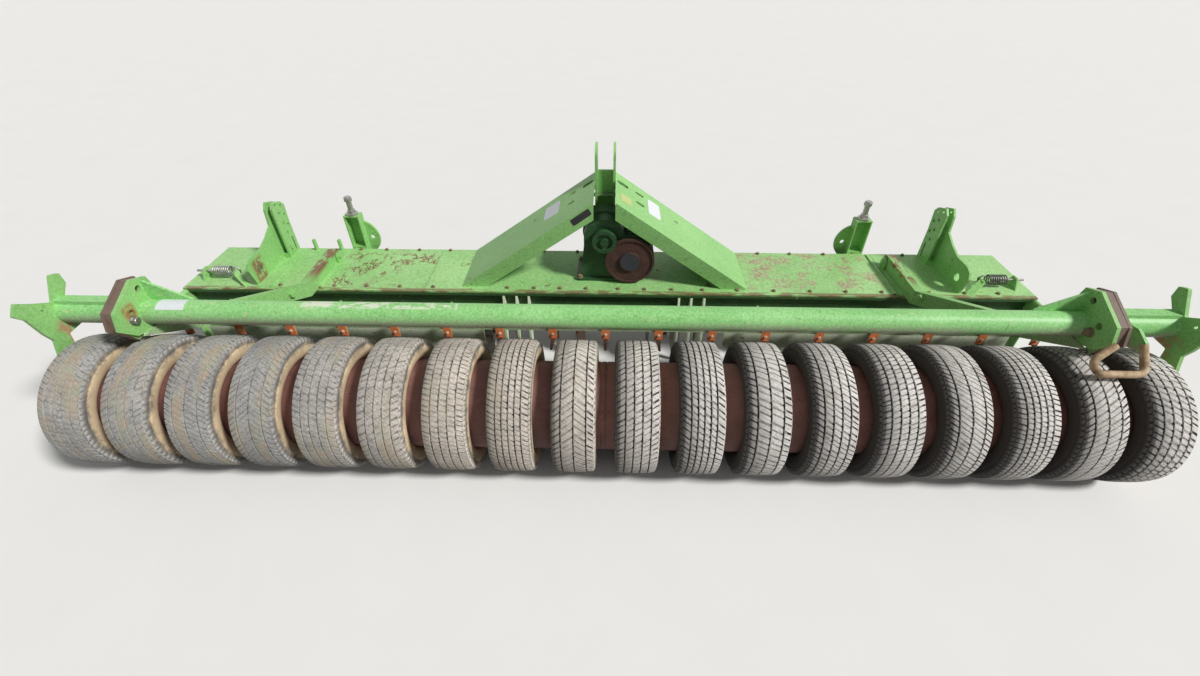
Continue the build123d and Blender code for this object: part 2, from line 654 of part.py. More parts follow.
def headstock_leg(side):
    """Sloping leg: a channel open below, with slots through its top face."""
    rise = LEG_TOP_Z - COVER_TOP
    run = LEG_FOOT_X - LEG_TOP_X
    length = math.hypot(rise, run)
    foot = Plane((LEG_FOOT_X, 0, COVER_TOP), x_dir=(-run, 0, rise), z_dir=(rise, 0, run))
    sign = math.copysign(1, foot.y_dir.Y)

    def slab(inset, past, top, bottom):
        """A tapering slab along the leg, its edges drawn in by the inset."""
        points = []
        for y_foot, y_top, along in (
            (LEG_REAR_FOOT_Y + inset, LEG_REAR_TOP_Y + inset, -past),
            (LEG_FRONT_FOOT_Y - inset, LEG_FRONT_TOP_Y - inset, -past),
            (LEG_FRONT_FOOT_Y - inset, LEG_FRONT_TOP_Y - inset, length + past),
            (LEG_REAR_FOOT_Y + inset, LEG_REAR_TOP_Y + inset, length + past),
        ):
            points.append((along, sign * (y_foot + (y_top - y_foot) * along / length)))
        outline = make_face(Polyline(*points, close=True))
        if inset == 0:
            for share, y, long, wide in LEG_SLOTS:
                outline -= Pos(share * length, sign * y) * SlotOverall(long, wide)
        return foot.offset(-bottom) * extrude(outline, bottom - top)

    shape = slab(0, LEG_DEPTH, 0, LEG_DEPTH)
    shape -= slab(LEG_PLATE, 2 * LEG_DEPTH, LEG_PLATE, LEG_DEPTH + 1)
    keep = block(LEG_TOP_X, LEG_FOOT_X + LEG_DEPTH, 0, 2 * TROUGH_FRONT, COVER_TOP, 2 * LEG_TOP_Z)
    shape = (shape & keep).solids().sort_by(SortBy.VOLUME)[-1]
    if side < 0:
        shape = mirrored(shape)
    return Pos(HARROW_X, 0, 0) * shape


def top_link_plates():
    """Two upright plates with the top-link holes, a cross plate and two cross pins."""
    outline = [
        (LINK_REAR, LINK_BOTTOM), (LINK_REAR, LINK_TOP), (LINK_FRONT, LINK_TOP),
        (LINK_FRONT, LINK_TOP - LINK_NOSE), (LINK_REAR + LINK_FOOT, LINK_BOTTOM),
    ]
    face = make_face(Polyline(*outline, close=True))
    corners = face.vertices().sort_by(Axis.Y)[-2:]
    face = fillet(corners, LINK_CORNER)
    face -= Pos(TOP_LINK_Y, TOP_LINK_Z) * Circle(TOP_LINK_HOLE)
    face -= Pos(TOP_LINK_Y - LOW_HOLE_BACK, TOP_LINK_Z - LOW_HOLE_DROP) * Circle(TOP_LINK_HOLE)
    half = LINK_GAP / 2
    plane = Plane((HARROW_X + half, 0, 0), x_dir=(0, 1, 0), z_dir=(1, 0, 0))
    plate = plane * extrude(face, LINK_PLATE)
    shape = plate + Pos(-LINK_GAP - LINK_PLATE, 0, 0) * plate
    shape += block(HARROW_X - half, HARROW_X + half, CROSS_PLATE_Y - CROSS_PLATE, CROSS_PLATE_Y,
                   CROSS_PLATE_BOTTOM, CROSS_PLATE_TOP)
    for z in CROSS_PINS:
        past = half + LINK_PLATE + CROSS_PIN_PAST
        shape += turned(CROSS_PIN_RADIUS, HARROW_X - past, HARROW_X + past, CROSS_PIN_Y, z)
    return shape


def lower_link_brackets():
    """A pair of cheeks with a pin hole at each lower hitch point."""
    rear = WALL_FRONT
    low = TROUGH_BOTTOM + TROUGH_CHAMFER
    rim = TROUGH_TOP - TROUGH_RIM_THICKNESS
    half = LOWER_CHEEK_GAP / 2
    nose_y = LOWER_PIN_Y + LOWER_CHEEK_NOSE
    outline = [
        (rear, low), (rear, rim), (TROUGH_FRONT + 1, rim), (TROUGH_FRONT + 1, COVER_TOP + CHEEK_RISE),
        (TROUGH_FRONT + CHEEK_TOP, COVER_TOP + CHEEK_RISE), (nose_y, LOWER_PIN_Z + LOWER_CHEEK_NOSE),
        (nose_y, LOWER_PIN_Z - LOWER_CHEEK_NOSE), (LOWER_PIN_Y, LOWER_PIN_Z - CHEEK_CHIN),
    ]
    pieces = []
    for side in (-1, 1):
        x = HARROW_X + side * LOWER_LINK_SPREAD / 2
        shape = block(x - half - LOWER_CHEEK, x + half + LOWER_CHEEK, rear, rear + LOWER_CHEEK,
                      low, rim)
        for start in (x - half - LOWER_CHEEK, x + half):
            shape += side_plate(outline, start, start + LOWER_CHEEK,
                                [(LOWER_PIN_Y, LOWER_PIN_Z, LOWER_PIN_HOLE)])
        pieces.append(shape)
    return Compound(pieces)


def gearbox():
    """Round housing on a spreading foot, with a rear boss, a split rib and a ribbed side drum."""
    x = HARROW_X
    half = BOX_RADIUS + BOX_SPREAD
    shape = block(x - half - BOX_FOOT_MARGIN, x + half + BOX_FOOT_MARGIN,
                  BOX_REAR - BOX_FOOT_MARGIN, BOX_FRONT + BOX_FOOT_MARGIN, COVER_TOP,
                  COVER_TOP + BOX_FOOT)
    waist = Polyline(
        (x - half, COVER_TOP), (x - BOX_RADIUS, DRIVE_Z - BOX_RADIUS / 2), (x - BOX_RADIUS, DRIVE_Z),
        (x + BOX_RADIUS, DRIVE_Z), (x + BOX_RADIUS, DRIVE_Z - BOX_RADIUS / 2), (x + half, COVER_TOP),
        close=True,
    )
    rear_plane = Plane((0, BOX_FRONT, 0), x_dir=(1, 0, 0), z_dir=(0, -1, 0))
    shape += rear_plane * extrude(make_face(waist), BOX_FRONT - BOX_REAR)
    shape += along_y(BOX_RADIUS, BOX_REAR, BOX_FRONT, x, DRIVE_Z)
    middle = (BOX_REAR + BOX_FRONT) / 2
    shape += along_y(BOX_RADIUS + BOX_SPLIT, middle - BOX_SPLIT, middle + BOX_SPLIT, x, DRIVE_Z)
    boss_end = BOX_REAR - REAR_BOSS_LENGTH
    shape += along_y(BOSS_RADIUS, boss_end, BOX_REAR + 1, x, DRIVE_Z)
    shape -= along_y(BOSS_RECESS, boss_end - 1, boss_end + BOSS_RECESS_DEPTH, x, DRIVE_Z)
    shape += along_y(BOSS_HUB, boss_end - BOSS_HUB_PAST, boss_end + BOSS_RECESS_DEPTH + 1, x, DRIVE_Z)
    shape += along_y(FRONT_BOSS_RADIUS, BOX_FRONT - 1, BOX_FRONT + FRONT_BOSS_LENGTH, x, DRIVE_Z)
    rear = BOX_REAR - SIDE_DRUM_STEP
    shape += along_y(SIDE_DRUM_RADIUS - DRUM_RIB_HEIGHT, rear, rear + SIDE_DRUM_LENGTH,
                     x + SIDE_DRUM_X, SIDE_DRUM_Z)
    pitch = (SIDE_DRUM_LENGTH - SIDE_DRUM_STEP) / DRUM_RIBS
    for index in range(DRUM_RIBS):
        y = BOX_REAR + index * pitch
        shape += along_y(SIDE_DRUM_RADIUS, y, y + DRUM_RIB_SHARE * pitch, x + SIDE_DRUM_X,
                         SIDE_DRUM_Z)
    shape -= along_y(DRIVE_RADIUS + RUNNING_FIT, BOX_FRONT - DRIVE_SEAT - SHAFT_END_GAP,
                     BOX_FRONT + FRONT_BOSS_LENGTH + 1, x, DRIVE_Z)
    return shape


def gear_cover():
    """Round cover with a rim and a raised middle on the rear of the side drum."""
    x = HARROW_X + SIDE_DRUM_X
    front = BOX_REAR - SIDE_DRUM_STEP
    rear = front - GEAR_COVER
    shape = along_y(SIDE_DRUM_RADIUS, rear, front, x, SIDE_DRUM_Z)
    shape -= along_y(SIDE_DRUM_RADIUS - GEAR_COVER_RIM, rear - 1, rear + GEAR_COVER_DISH, x,
                     SIDE_DRUM_Z)
    shape += along_y(GEAR_COVER_HUB, rear - GEAR_COVER_DISH, rear + GEAR_COVER_DISH + 1, x,
                     SIDE_DRUM_Z)
    shape -= along_y(BOSS_RADIUS + COVER_CLEARANCE, rear - GEAR_COVER, front + 1, HARROW_X, DRIVE_Z)
    return shape


def drive_shaft():
    """Splined input shaft at the front of the gearbox."""
    shape = along_y(DRIVE_RADIUS, BOX_FRONT - DRIVE_SEAT, DRIVE_END, HARROW_X, DRIVE_Z)
    shape += along_y(DRIVE_RADIUS + DRIVE_COLLAR_RIM, COLLAR_Y, COLLAR_Y + DRIVE_COLLAR, HARROW_X,
                     DRIVE_Z)
    return shape


def quadrant(side):
    """Two parallel drilled plates with a slot between them; the outer one reaches back to a pivot."""
    holes = [(y, COVER_TOP + up, QUADRANT_HOLE) for y, up in QUADRANT_HOLES]
    near = QUADRANT_X
    far = QUADRANT_X + QUADRANT_PLATE + QUADRANT_SLOT
    inner_edge = [(y, COVER_TOP + up) for y, up in QUADRANT_INNER]
    outer_edge = [(y, COVER_TOP + up) for y, up in QUADRANT_OUTER]
    inner = side_plate(inner_edge, near, near + QUADRANT_PLATE, holes)
    slot_y, slot_up, slot_long, slot_wide = QUADRANT_WINDOW
    inner -= block(near - 1, near + QUADRANT_PLATE + 1, slot_y - slot_wide / 2,
                   slot_y + slot_wide / 2, COVER_TOP + slot_up, COVER_TOP + slot_up + slot_long)
    outer = side_plate(outer_edge, far, far + QUADRANT_PLATE,
                       [(PIVOT_Y, COVER_TOP + PIVOT_UP, QUADRANT_PIVOT)] + holes)
    foot_y = QUADRANT_INNER[0][0]
    spacer = block(near + QUADRANT_PLATE, far, foot_y, foot_y + QUADRANT_SPACER, COVER_TOP,
                   COVER_TOP + QUADRANT_SPACER / 2)
    shape = inner + outer + spacer
    if side < 0:
        shape = mirrored(shape)
    return Pos(HARROW_X, 0, 0) * shape


def front_bracket(side):
    """Post open to the rear, with a cap, a lip and a round-edged lug beside it."""
    x = FRONT_BRACKET_X
    half = POST_WIDTH / 2
    rear = TROUGH_FRONT
    front = TROUGH_FRONT + POST_DEPTH
    shape = block(x - half, x + half, rear, front, POST_BOTTOM, POST_TOP)
    shape -= block(x - half + POST_WALL, x + half - POST_WALL, rear - 1, front - POST_WALL,
                   POST_LIP_Z + POST_WALL, POST_TOP - POST_WALL)
    shape -= block(x - half + POST_WALL, x + half - POST_WALL, rear + POST_WALL, front - POST_WALL,
                   POST_BOTTOM - 1, POST_LIP_Z)
    lug = along_y(LUG_RADIUS, front - LUG_PLATE, front, x - half + LUG_INSET, LUG_Z)
    lug -= block(x - half, x + 2 * LUG_RADIUS, rear, front + 1, LUG_Z - 2 * LUG_RADIUS,
                 LUG_Z + 2 * LUG_RADIUS)
    lug -= along_y(LUG_HOLE, front - LUG_PLATE - 1, front + 1, x - half - 2 * LUG_HOLE, LUG_Z)
    shape += lug
    if side < 0:
        shape = mirrored(shape)
    return Pos(HARROW_X, 0, 0) * shape


def spindle(side):
    """Threaded spindle with a wide washer and two nuts on top of the post."""
    x = HARROW_X + side * FRONT_BRACKET_X
    y = TROUGH_FRONT + POST_DEPTH / 2
    shape = upright(SPINDLE_RADIUS, POST_TOP, SPINDLE_TOP, x, y)
    shape += upright(SPINDLE_WASHER, POST_TOP, POST_TOP + SPINDLE_WASHER_THICKNESS, x, y)
    hexagon = RegularPolygon(SPINDLE_NUT, 6)
    for z in (POST_TOP + SPINDLE_WASHER_THICKNESS, SPINDLE_TOP - SPINDLE_NUT):
        shape += Pos(x, y, z) * extrude(hexagon, SPINDLE_NUT_HEIGHT)
    return shape


def pegs():
    """Upright pegs on the front edge of the left-hand covers."""
    return Compound([upright(PEG_RADIUS, COVER_TOP, PEG_TOP, x + HARROW_X, PEG_Y) for x in PEGS])


def rear_ribs():
    """Two sets of three upright ribs on the trough's rear wall."""
    top = TROUGH_TOP - TROUGH_RIM_THICKNESS
    low = TROUGH_BOTTOM - RIB_DROP
    outline = [
        (WALL_REAR, top), (TROUGH_REAR + 2, top), (WALL_REAR - RIB_REACH, low + RIB_FOOT_HEIGHT),
        (WALL_REAR - RIB_REACH, low), (WALL_REAR - TROUGH_RIM, low),
        (WALL_REAR, TROUGH_BOTTOM + TROUGH_CHAMFER),
    ]
    pieces = []
    for side in (-1, 1):
        for place in RIBS:
            x = HARROW_X + side * place
            pieces.append(side_plate(outline, x - RIB / 2, x + RIB / 2))
    return Compound(pieces)


def levelling_board(side):
    """Long plate with a folded top lip behind the rotors; its inner end is cut on the slant."""
    outer = BOARD_OUTER
    inner = BOARD_INNER
    face = make_face(Polyline((inner, BOARD_TOP), (outer, BOARD_TOP), (outer, BOARD_BOTTOM),
                              (inner + BOARD_SLANT, BOARD_BOTTOM),
                              (inner, BOARD_BOTTOM + BOARD_SLANT), close=True))
    plane = Plane((0, BOARD_Y + BOARD / 2, 0), x_dir=(1, 0, 0), z_dir=(0, -1, 0))
    shape = plane * extrude(face, BOARD)
    shape += block(inner, outer, BOARD_Y - BOARD / 2, BOARD_Y - BOARD / 2 + BOARD_LIP,
                   BOARD_TOP, BOARD_TOP + BOARD)
    if side < 0:
        shape = mirrored(shape)
    return Pos(HARROW_X, 0, 0) * shape


def board_hangers():
    """Straps from the trough's rear wall to the levelling boards."""
    front = BOARD_Y + BOARD / 2
    outline = [
        (WALL_REAR, TROUGH_TOP - HANGER_DROP), (WALL_REAR, TROUGH_BOTTOM + TROUGH_CHAMFER),
        (front + HANGER_DEPTH, BOARD_BOTTOM + HANGER_DEPTH), (front, BOARD_BOTTOM + HANGER_DEPTH),
        (front, BOARD_TOP), (BOARD_Y + BOARD_LIP, BOARD_TOP),
        (BOARD_Y + BOARD_LIP, BOARD_TOP + HANGER_DEPTH),
    ]
    pieces = []
    for side in (-1, 1):
        for place in HANGERS:
            x = HARROW_X + side * place
            pieces.append(side_plate(outline, x - HANGER / 2, x + HANGER / 2))
    return Compound(pieces)


def side_shield(side):
    """Plate at the end of the trough, hung from a tube under the cover's edge."""
    top = SHIELD_TUBE_Z
    tube_front = SHIELD_FRONT - SHIELD_NOSE
    shape = side_plate(
        [(SHIELD_REAR, top), (tube_front, top), (SHIELD_FRONT, top - SHIELD_SLOPE),
         (SHIELD_FRONT, SHIELD_BOTTOM + SHIELD_NOSE), (SHIELD_FRONT - 2 * SHIELD_NOSE, SHIELD_BOTTOM),
         (SHIELD_REAR, SHIELD_BOTTOM)],
        SHIELD_X, SHIELD_X + SHIELD)
    shape += along_y(SHIELD_TUBE_RADIUS, SHIELD_REAR, tube_front, SHIELD_X + SHIELD_TUBE_RADIUS, top)
    if side < 0:
        shape = mirrored(shape)
    return Pos(HARROW_X, 0, 0) * shape


def shield_spring(side):
    """Coil spring as a turned row of rings, a ring eye inside and a threaded eyebolt outside."""
    step = SPRING_LENGTH / SPRING_COILS
    core = SPRING_RADIUS - 2 * SPRING_WIRE
    outline = [(SPRING_INNER_X, 0)]
    for index in range(SPRING_COILS):
        start = SPRING_INNER_X + index * step
        outline += [(start, core), (start + step / 2, SPRING_RADIUS)]
    outline += [(SPRING_OUTER_X, core), (SPRING_OUTER_X, 0)]
    shape = Pos(0, SPRING_Y, SPRING_Z) * revolve(make_face(Polyline(*outline, close=True)), Axis.X)
    shape += turned(EYEBOLT_RADIUS, SPRING_OUTER_X - 1, EYEBOLT_END, SPRING_Y, SPRING_Z)
    shape += Pos(EYE_X, SPRING_Y, SPRING_Z) * Rot(90, 0, 0) * Torus(EYE_RADIUS, SPRING_WIRE)
    shape = shape.solids().sort_by(SortBy.VOLUME)[-1]
    if side < 0:
        shape = mirrored(shape)
    return Pos(HARROW_X, 0, 0) * shape


def spring_brackets(side):
    """Upright plate that holds the eyebolt, and a sloping bar with the pin for the spring's eye."""
    plate = side_plate(
        [(SPRING_Y - BRACKET_FOOT, COVER_TOP), (SPRING_Y - BRACKET_HEAD, SPRING_Z + BRACKET_HEAD),
         (SPRING_Y + BRACKET_HEAD, SPRING_Z + BRACKET_HEAD), (SPRING_Y + BRACKET_FOOT, COVER_TOP)],
        BRACKET_X, BRACKET_X + BRACKET, [(SPRING_Y, SPRING_Z, EYEBOLT_RADIUS + EYEBOLT_GAP)])
    head_y = SPRING_Y - SPRING_WIRE - EYEBOLT_GAP - EYE_BAR_WIDTH / 2
    run_x, run_y = EYE_PIN_X - EYE_BAR_FOOT_X, head_y - EYE_BAR_FOOT_Y
    rise = SPRING_Z - COVER_TOP
    run = math.hypot(run_x, run_y)
    heading = math.degrees(math.atan2(run_y, run_x))
    climb = math.degrees(math.atan2(rise, run))
    length = math.hypot(run, rise) + 2 * EYE_PIN_RADIUS
    bar = Box(length, EYE_BAR_WIDTH, BRACKET, align=(Align.MAX, Align.CENTER, Align.CENTER))
    bar = Pos(EYE_PIN_X, head_y, SPRING_Z) * Rot(0, 0, heading) * Rot(0, -climb, 0) * bar
    bar -= block(0, 2 * EYE_PIN_X, 0, 2 * SPRING_Y, 0, COVER_TOP)
    bar += along_y(EYE_PIN_RADIUS, head_y - EYE_BAR_WIDTH / 2, SPRING_Y + EYE_BAR_WIDTH / 2,
                   EYE_PIN_X, SPRING_Z)
    pieces = [plate, bar]
    if side < 0:
        pieces = [mirrored(piece) for piece in pieces]
    return Pos(HARROW_X, 0, 0) * Compound(pieces)


def build():
    """Every node by name."""
    nodes = {
        "gear_trough": gear_trough(),
        "trough_cover": trough_cover(),
        "arm_lugs": arm_lugs(),
        "top_link_plates": top_link_plates(),
        "lower_link_brackets": lower_link_brackets(),
        "gearbox": gearbox(),
        "gear_cover": gear_cover(),
        "drive_shaft": drive_shaft(),
        "front_pegs": pegs(),
        "rear_ribs": rear_ribs(),
        "board_hangers": board_hangers(),
        "carrier_tube": carrier_tube(),
        "scraper_bar": scraper_bar(),
        "scraper_struts": scraper_struts(),
        "scrapers": scrapers(),
        "hitch_loop": hitch_loop(),
        "tyre_roller": tyre_roller(),
    }
    for name, side in (("left", -1), ("right", 1)):
        nodes["headstock_leg_" + name] = headstock_leg(side)
        nodes["quadrant_" + name] = quadrant(side)
        nodes["front_bracket_" + name] = front_bracket(side)
        nodes["spindle_" + name] = spindle(side)
        nodes["levelling_board_" + name] = levelling_board(side)
        nodes["side_shield_" + name] = side_shield(side)
        nodes["shield_spring_" + name] = shield_spring(side)
        nodes["spring_bracket_" + name] = spring_brackets(side)
        nodes["tube_flange_" + name] = tube_flange(side)
        nodes["stub_tube_" + name] = stub_tube(side)
        nodes["end_plate_" + name] = end_plate(side)
        nodes["bearing_" + name] = bearing(side)
        nodes["arm_" + name] = arm(side)
    for index in range(ROTORS):
        nodes[f"rotor_{index + 1:02d}"] = rotor(index)
    return nodes


def main():
    os.makedirs("parts", exist_ok=True)
    for name, shape in build().items():
        export_step(Pos(0, -MIDDLE_Y, 0) * shape, f"parts/{name}.step")


if __name__ == "__main__":
    main()
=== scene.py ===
"""Looks of a worn power harrow with a packer roller of old car tyres.

Metres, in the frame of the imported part: +X to the right seen from behind, +Y the way it is
towed, +Z up. New pieces are surfaces worked out with numpy; every finish is procedural.
"""

import math

import bpy
import numpy as np
from mathutils import Matrix

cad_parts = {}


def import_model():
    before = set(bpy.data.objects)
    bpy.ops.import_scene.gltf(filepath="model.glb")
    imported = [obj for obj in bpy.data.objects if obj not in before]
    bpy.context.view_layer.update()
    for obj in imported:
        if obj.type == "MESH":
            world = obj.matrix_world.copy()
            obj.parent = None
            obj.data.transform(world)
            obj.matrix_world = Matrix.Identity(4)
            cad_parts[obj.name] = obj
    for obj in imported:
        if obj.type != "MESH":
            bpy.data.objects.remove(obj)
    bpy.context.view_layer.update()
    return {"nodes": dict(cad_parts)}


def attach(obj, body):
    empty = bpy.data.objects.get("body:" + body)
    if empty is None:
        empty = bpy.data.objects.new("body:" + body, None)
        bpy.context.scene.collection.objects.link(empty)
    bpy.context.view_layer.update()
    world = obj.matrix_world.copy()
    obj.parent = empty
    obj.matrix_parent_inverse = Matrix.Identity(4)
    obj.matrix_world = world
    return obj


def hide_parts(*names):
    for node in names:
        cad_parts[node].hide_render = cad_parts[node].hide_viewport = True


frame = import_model()
nodes = frame["nodes"]

# Places taken over from the part, in metres
HARROW_X = -0.02
COVER_TOP = 0.5
COVER_REAR = 0.151
LEG_TOP = 0.9588  # the legs' upper faces, carried on to the harrow's middle
LEG_SLOPE = 0.6552
TYRES = 18
TYRE_PITCH = 0.25
AXLE_Y = -0.401
AXLE_Z = 0.282
AXLE_END = 2.288
AXLE_RADIUS = 0.03
DRUM_HALF = 2.225
DRUM_RADIUS = 0.187
TUBE_Y = -0.256
TUBE_Z = 0.645
TUBE_RADIUS = 0.051
FLANGE_OUTER = 1.919
CLIP_REAR = -0.0465
SPRING_Y = 0.239
SPRING_Z = 0.537

# Of the green paint; colours are linear red, green and blue
PAINT_IOR = 1.45
PALE_CHIP = (0.66, 0.72, 0.4)
PALE_DUST = (0.36, 0.31, 0.19)
DARK_GRIME = (0.12, 0.1, 0.07)

WAVES_A_PITCH = 0.6366  # 2 / pi: the wave's value grows by 4 over a pitch, twice to and fro


# finishes

class Value:
    """A socket with a number on it; arithmetic on it adds Math nodes."""

    def __init__(self, finish, socket):
        self.finish = finish
        self.socket = socket

    def _maths(self, operation, *values):
        return self.finish.node("ShaderNodeMath", {"operation": operation}, dict(enumerate(values)))

    def __add__(self, other):
        return self._maths("ADD", self, other)

    __radd__ = __add__

    def __sub__(self, other):
        return self._maths("SUBTRACT", self, other)

    def __rsub__(self, other):
        return self._maths("SUBTRACT", other, self)

    def __mul__(self, other):
        return self._maths("MULTIPLY", self, other)

    __rmul__ = __mul__

    def __truediv__(self, other):
        return self._maths("DIVIDE", self, other)

    def __pow__(self, other):
        return self._maths("POWER", self, other)

    def distance(self, middle):
        """How far the value is from a middle one, to either side."""
        return self._maths("ABSOLUTE", self - middle)

    def near(self, middle, width):
        """1 at a middle value, falling to 0 at a width to either side."""
        return (1 - self.distance(middle) / width).clipped()

    def angle_to(self, other):
        """Angle of the direction whose two parts are the values, in radians."""
        return self._maths("ARCTAN2", self, other)

    def to_and_fro(self):
        """Runs from 0 to 1 and back as the value grows by 2."""
        return self._maths("PINGPONG", self, 1.0)

    def above(self, edge, width):
        """0 below edge, 1 above edge + width, a smooth step between."""
        return self.finish.node(
            "ShaderNodeMapRange", {"interpolation_type": "SMOOTHSTEP"},
            {0: self, 1: edge, 2: edge + width, 3: 0.0, 4: 1.0})

    def clipped(self):
        return self.finish.node("ShaderNodeClamp", {}, {0: self})


class Finish:
    """A material built node by node on one Principled shader."""

    def __init__(self, name):
        self.material = bpy.data.materials.new(name)
        self.material.use_nodes = True
        self.tree = self.material.node_tree
        self.shader = next(n for n in self.tree.nodes if n.type == "BSDF_PRINCIPLED")
        self.place = self.node("ShaderNodeTexCoord", {}, {}, "Object")

    def node(self, kind, settings, sockets, output=0):
        """Adds one node: its settings first, the stops of a colour ramp among them, then the
        values or links of its sockets."""
        new = self.tree.nodes.new(kind)
        for key, value in settings.items():
            if key == "stops":
                ramp = new.color_ramp
                while len(ramp.elements) < len(value):
                    ramp.elements.new(1.0)
                for element, (position, colour) in zip(ramp.elements, value):
                    element.position = position
                    element.color = (*colour, 1.0)
            else:
                setattr(new, key, value)
        for key, value in sockets.items():
            if isinstance(value, Value):
                self.tree.links.new(value.socket, new.inputs[key])
            elif isinstance(value, tuple) and len(value) == 3 and new.inputs[key].type == "RGBA":
                new.inputs[key].default_value = (*value, 1.0)
            else:
                new.inputs[key].default_value = value
        return Value(self, new.outputs[output])

    def drawn_out(self, stretch):
        """The surface point with each axis scaled: a pattern is longer where stretch is low."""
        return self.node("ShaderNodeMapping", {}, {0: self.place, 3: stretch})

    def noise(self, scale, detail=3.0, rough=0.55, stretch=None):
        """Fractal noise from 0 to 1 at so many waves a metre."""
        where = self.drawn_out(stretch) if stretch else self.place
        return self.node("ShaderNodeTexNoise", {}, {0: where, "Scale": scale, "Detail": detail,
                                                    "Roughness": rough})

    def cells(self, scale):
        """Distance to the nearest of scattered points."""
        return self.node("ShaderNodeTexVoronoi", {"feature": "F1"},
                         {"Vector": self.place, "Scale": scale})

    def box(self, low, high, soft):
        """1 inside a box between two corners and 0 outside, its edges soft by so many metres."""
        x, y, z = (place.above(a, soft) * (1 - place.above(b, soft))
                   for place, a, b in zip(map(self.axis, "XYZ"), low, high))
        return x * y * z

    def axis(self, letter):
        """One coordinate of the surface point, in metres."""
        return self.node("ShaderNodeSeparateXYZ", {}, {0: self.place}, "XYZ".index(letter))

    def facing(self, letter):
        """One component of the surface's normal."""
        normal = self.node("ShaderNodeNewGeometry", {}, {}, "Normal")
        return self.node("ShaderNodeSeparateXYZ", {}, {0: normal}, "XYZ".index(letter))

    def attribute(self, name):
        """A number that the mesh carries at each point."""
        return self.node("ShaderNodeAttribute", {"attribute_name": name}, {}, "Fac")

    def mix(self, factor, first, second):
        """Colour first where factor is 0 and second where it is 1. Of the node's sockets for
        all kinds of data, 6 and 7 and the output 2 are the ones for colours."""
        return self.node("ShaderNodeMix", {"data_type": "RGBA"},
                         {0: factor, 6: first, 7: second}, 2)

    def lay(self, colour, mask, tone):
        """A colour with a tone laid over it, as far as the mask says."""
        return self.mix(mask.clipped(), colour, tone)

    def ramp(self, factor, *stops):
        """Colour that runs through the stops, each a factor and a colour."""
        return self.node("ShaderNodeValToRGB", {"stops": stops}, {0: factor})

    def finish(self, colour, roughness, height=None, bump=0.001, metallic=None):
        """Wires colour, roughness and relief, its depth in metres, to the shader."""
        links = self.tree.links
        links.new(colour.socket, self.shader.inputs["Base Color"])
        if isinstance(roughness, Value):
            links.new(roughness.socket, self.shader.inputs["Roughness"])
        else:
            self.shader.inputs["Roughness"].default_value = roughness
        if metallic is not None:
            links.new(metallic.socket, self.shader.inputs["Metallic"])
        if height is not None:
            relief = self.node("ShaderNodeBump", {}, {"Height": height, "Distance": bump})
            links.new(relief.socket, self.shader.inputs["Normal"])
        return self.material


def worn_green(name, tone=(0.19, 0.47, 0.125), pale=(0.36, 0.66, 0.25), chips=0.5, rust=0.3,
               dust=0.4, grime=0.3, worn_places=None):
    """Faded green paint: fine speckle and dark stains, pale chips drawn out along the machine,
    rust where it is scratched through, dust on what faces up and grime on what faces down.
    chips, rust, dust and grime say how much, from 0 to 1; worn_places adds what is only in one
    place, as pairs of a mask and a colour."""
    f = Finish(name)
    f.shader.inputs["IOR"].default_value = PAINT_IOR
    cloud = f.noise(2.6, 4.0)
    fine = f.noise(95.0, 4.0, 0.7)
    colour = f.mix((cloud * 1.3 - 1.2 + fine * 2.2).clipped(), tone, pale)
    stain = f.noise(52.0, 5.0, 0.75, stretch=(0.6, 1.0, 1.0))
    colour = f.lay(colour, stain.above(0.56, 0.1) * 0.4, (0.13, 0.24, 0.075))
    fleck = f.noise(75.0, 5.0, 0.7, stretch=(0.5, 1.0, 1.0))
    worn = f.noise(9.0, 4.0, 0.6)
    chip = fleck.above(0.66 - 0.07 * chips, 0.03) * worn.above(0.58 - 0.1 * chips, 0.05)
    colour = f.lay(colour, chip * 0.8, PALE_CHIP)
    streak = f.noise(24.0, 6.0, 0.7, stretch=(0.35, 1.0, 1.0))
    bare = f.noise(7.3, 6.0, 0.7)
    rusty = (bare.above(0.7 - 0.16 * rust, 0.035) * streak.above(0.45, 0.08)).clipped()
    rust_colour = f.ramp(f.noise(60.0, 5.0, 0.7), (0.3, (0.07, 0.028, 0.016)),
                         (0.55, (0.2, 0.085, 0.04)), (0.8, (0.34, 0.18, 0.09)))
    colour = f.mix(rusty, colour, rust_colour)
    up = f.facing("Z")
    dirt = f.noise(9.0, 5.0, 0.65)
    dusty = (up.above(0.35, 0.5) * dirt.above(0.66 - 0.25 * dust, 0.25) * dust).clipped()
    colour = f.mix(dusty, colour, PALE_DUST)
    below = ((0 - up).above(0.15, 0.6) * dirt.above(0.6 - 0.4 * grime, 0.2) * grime).clipped()
    colour = f.mix(below, colour, DARK_GRIME)
    for mask, tone in worn_places(f) if worn_places else ():
        colour = f.lay(colour, mask, tone)
    rough = 0.36 + 0.22 * fine + 0.3 * rusty + 0.25 * dusty
    height = 0.35 * fine - 0.5 * rusty - 0.3 * chip
    return f.finish(colour, rough.clipped(), height, 0.001)


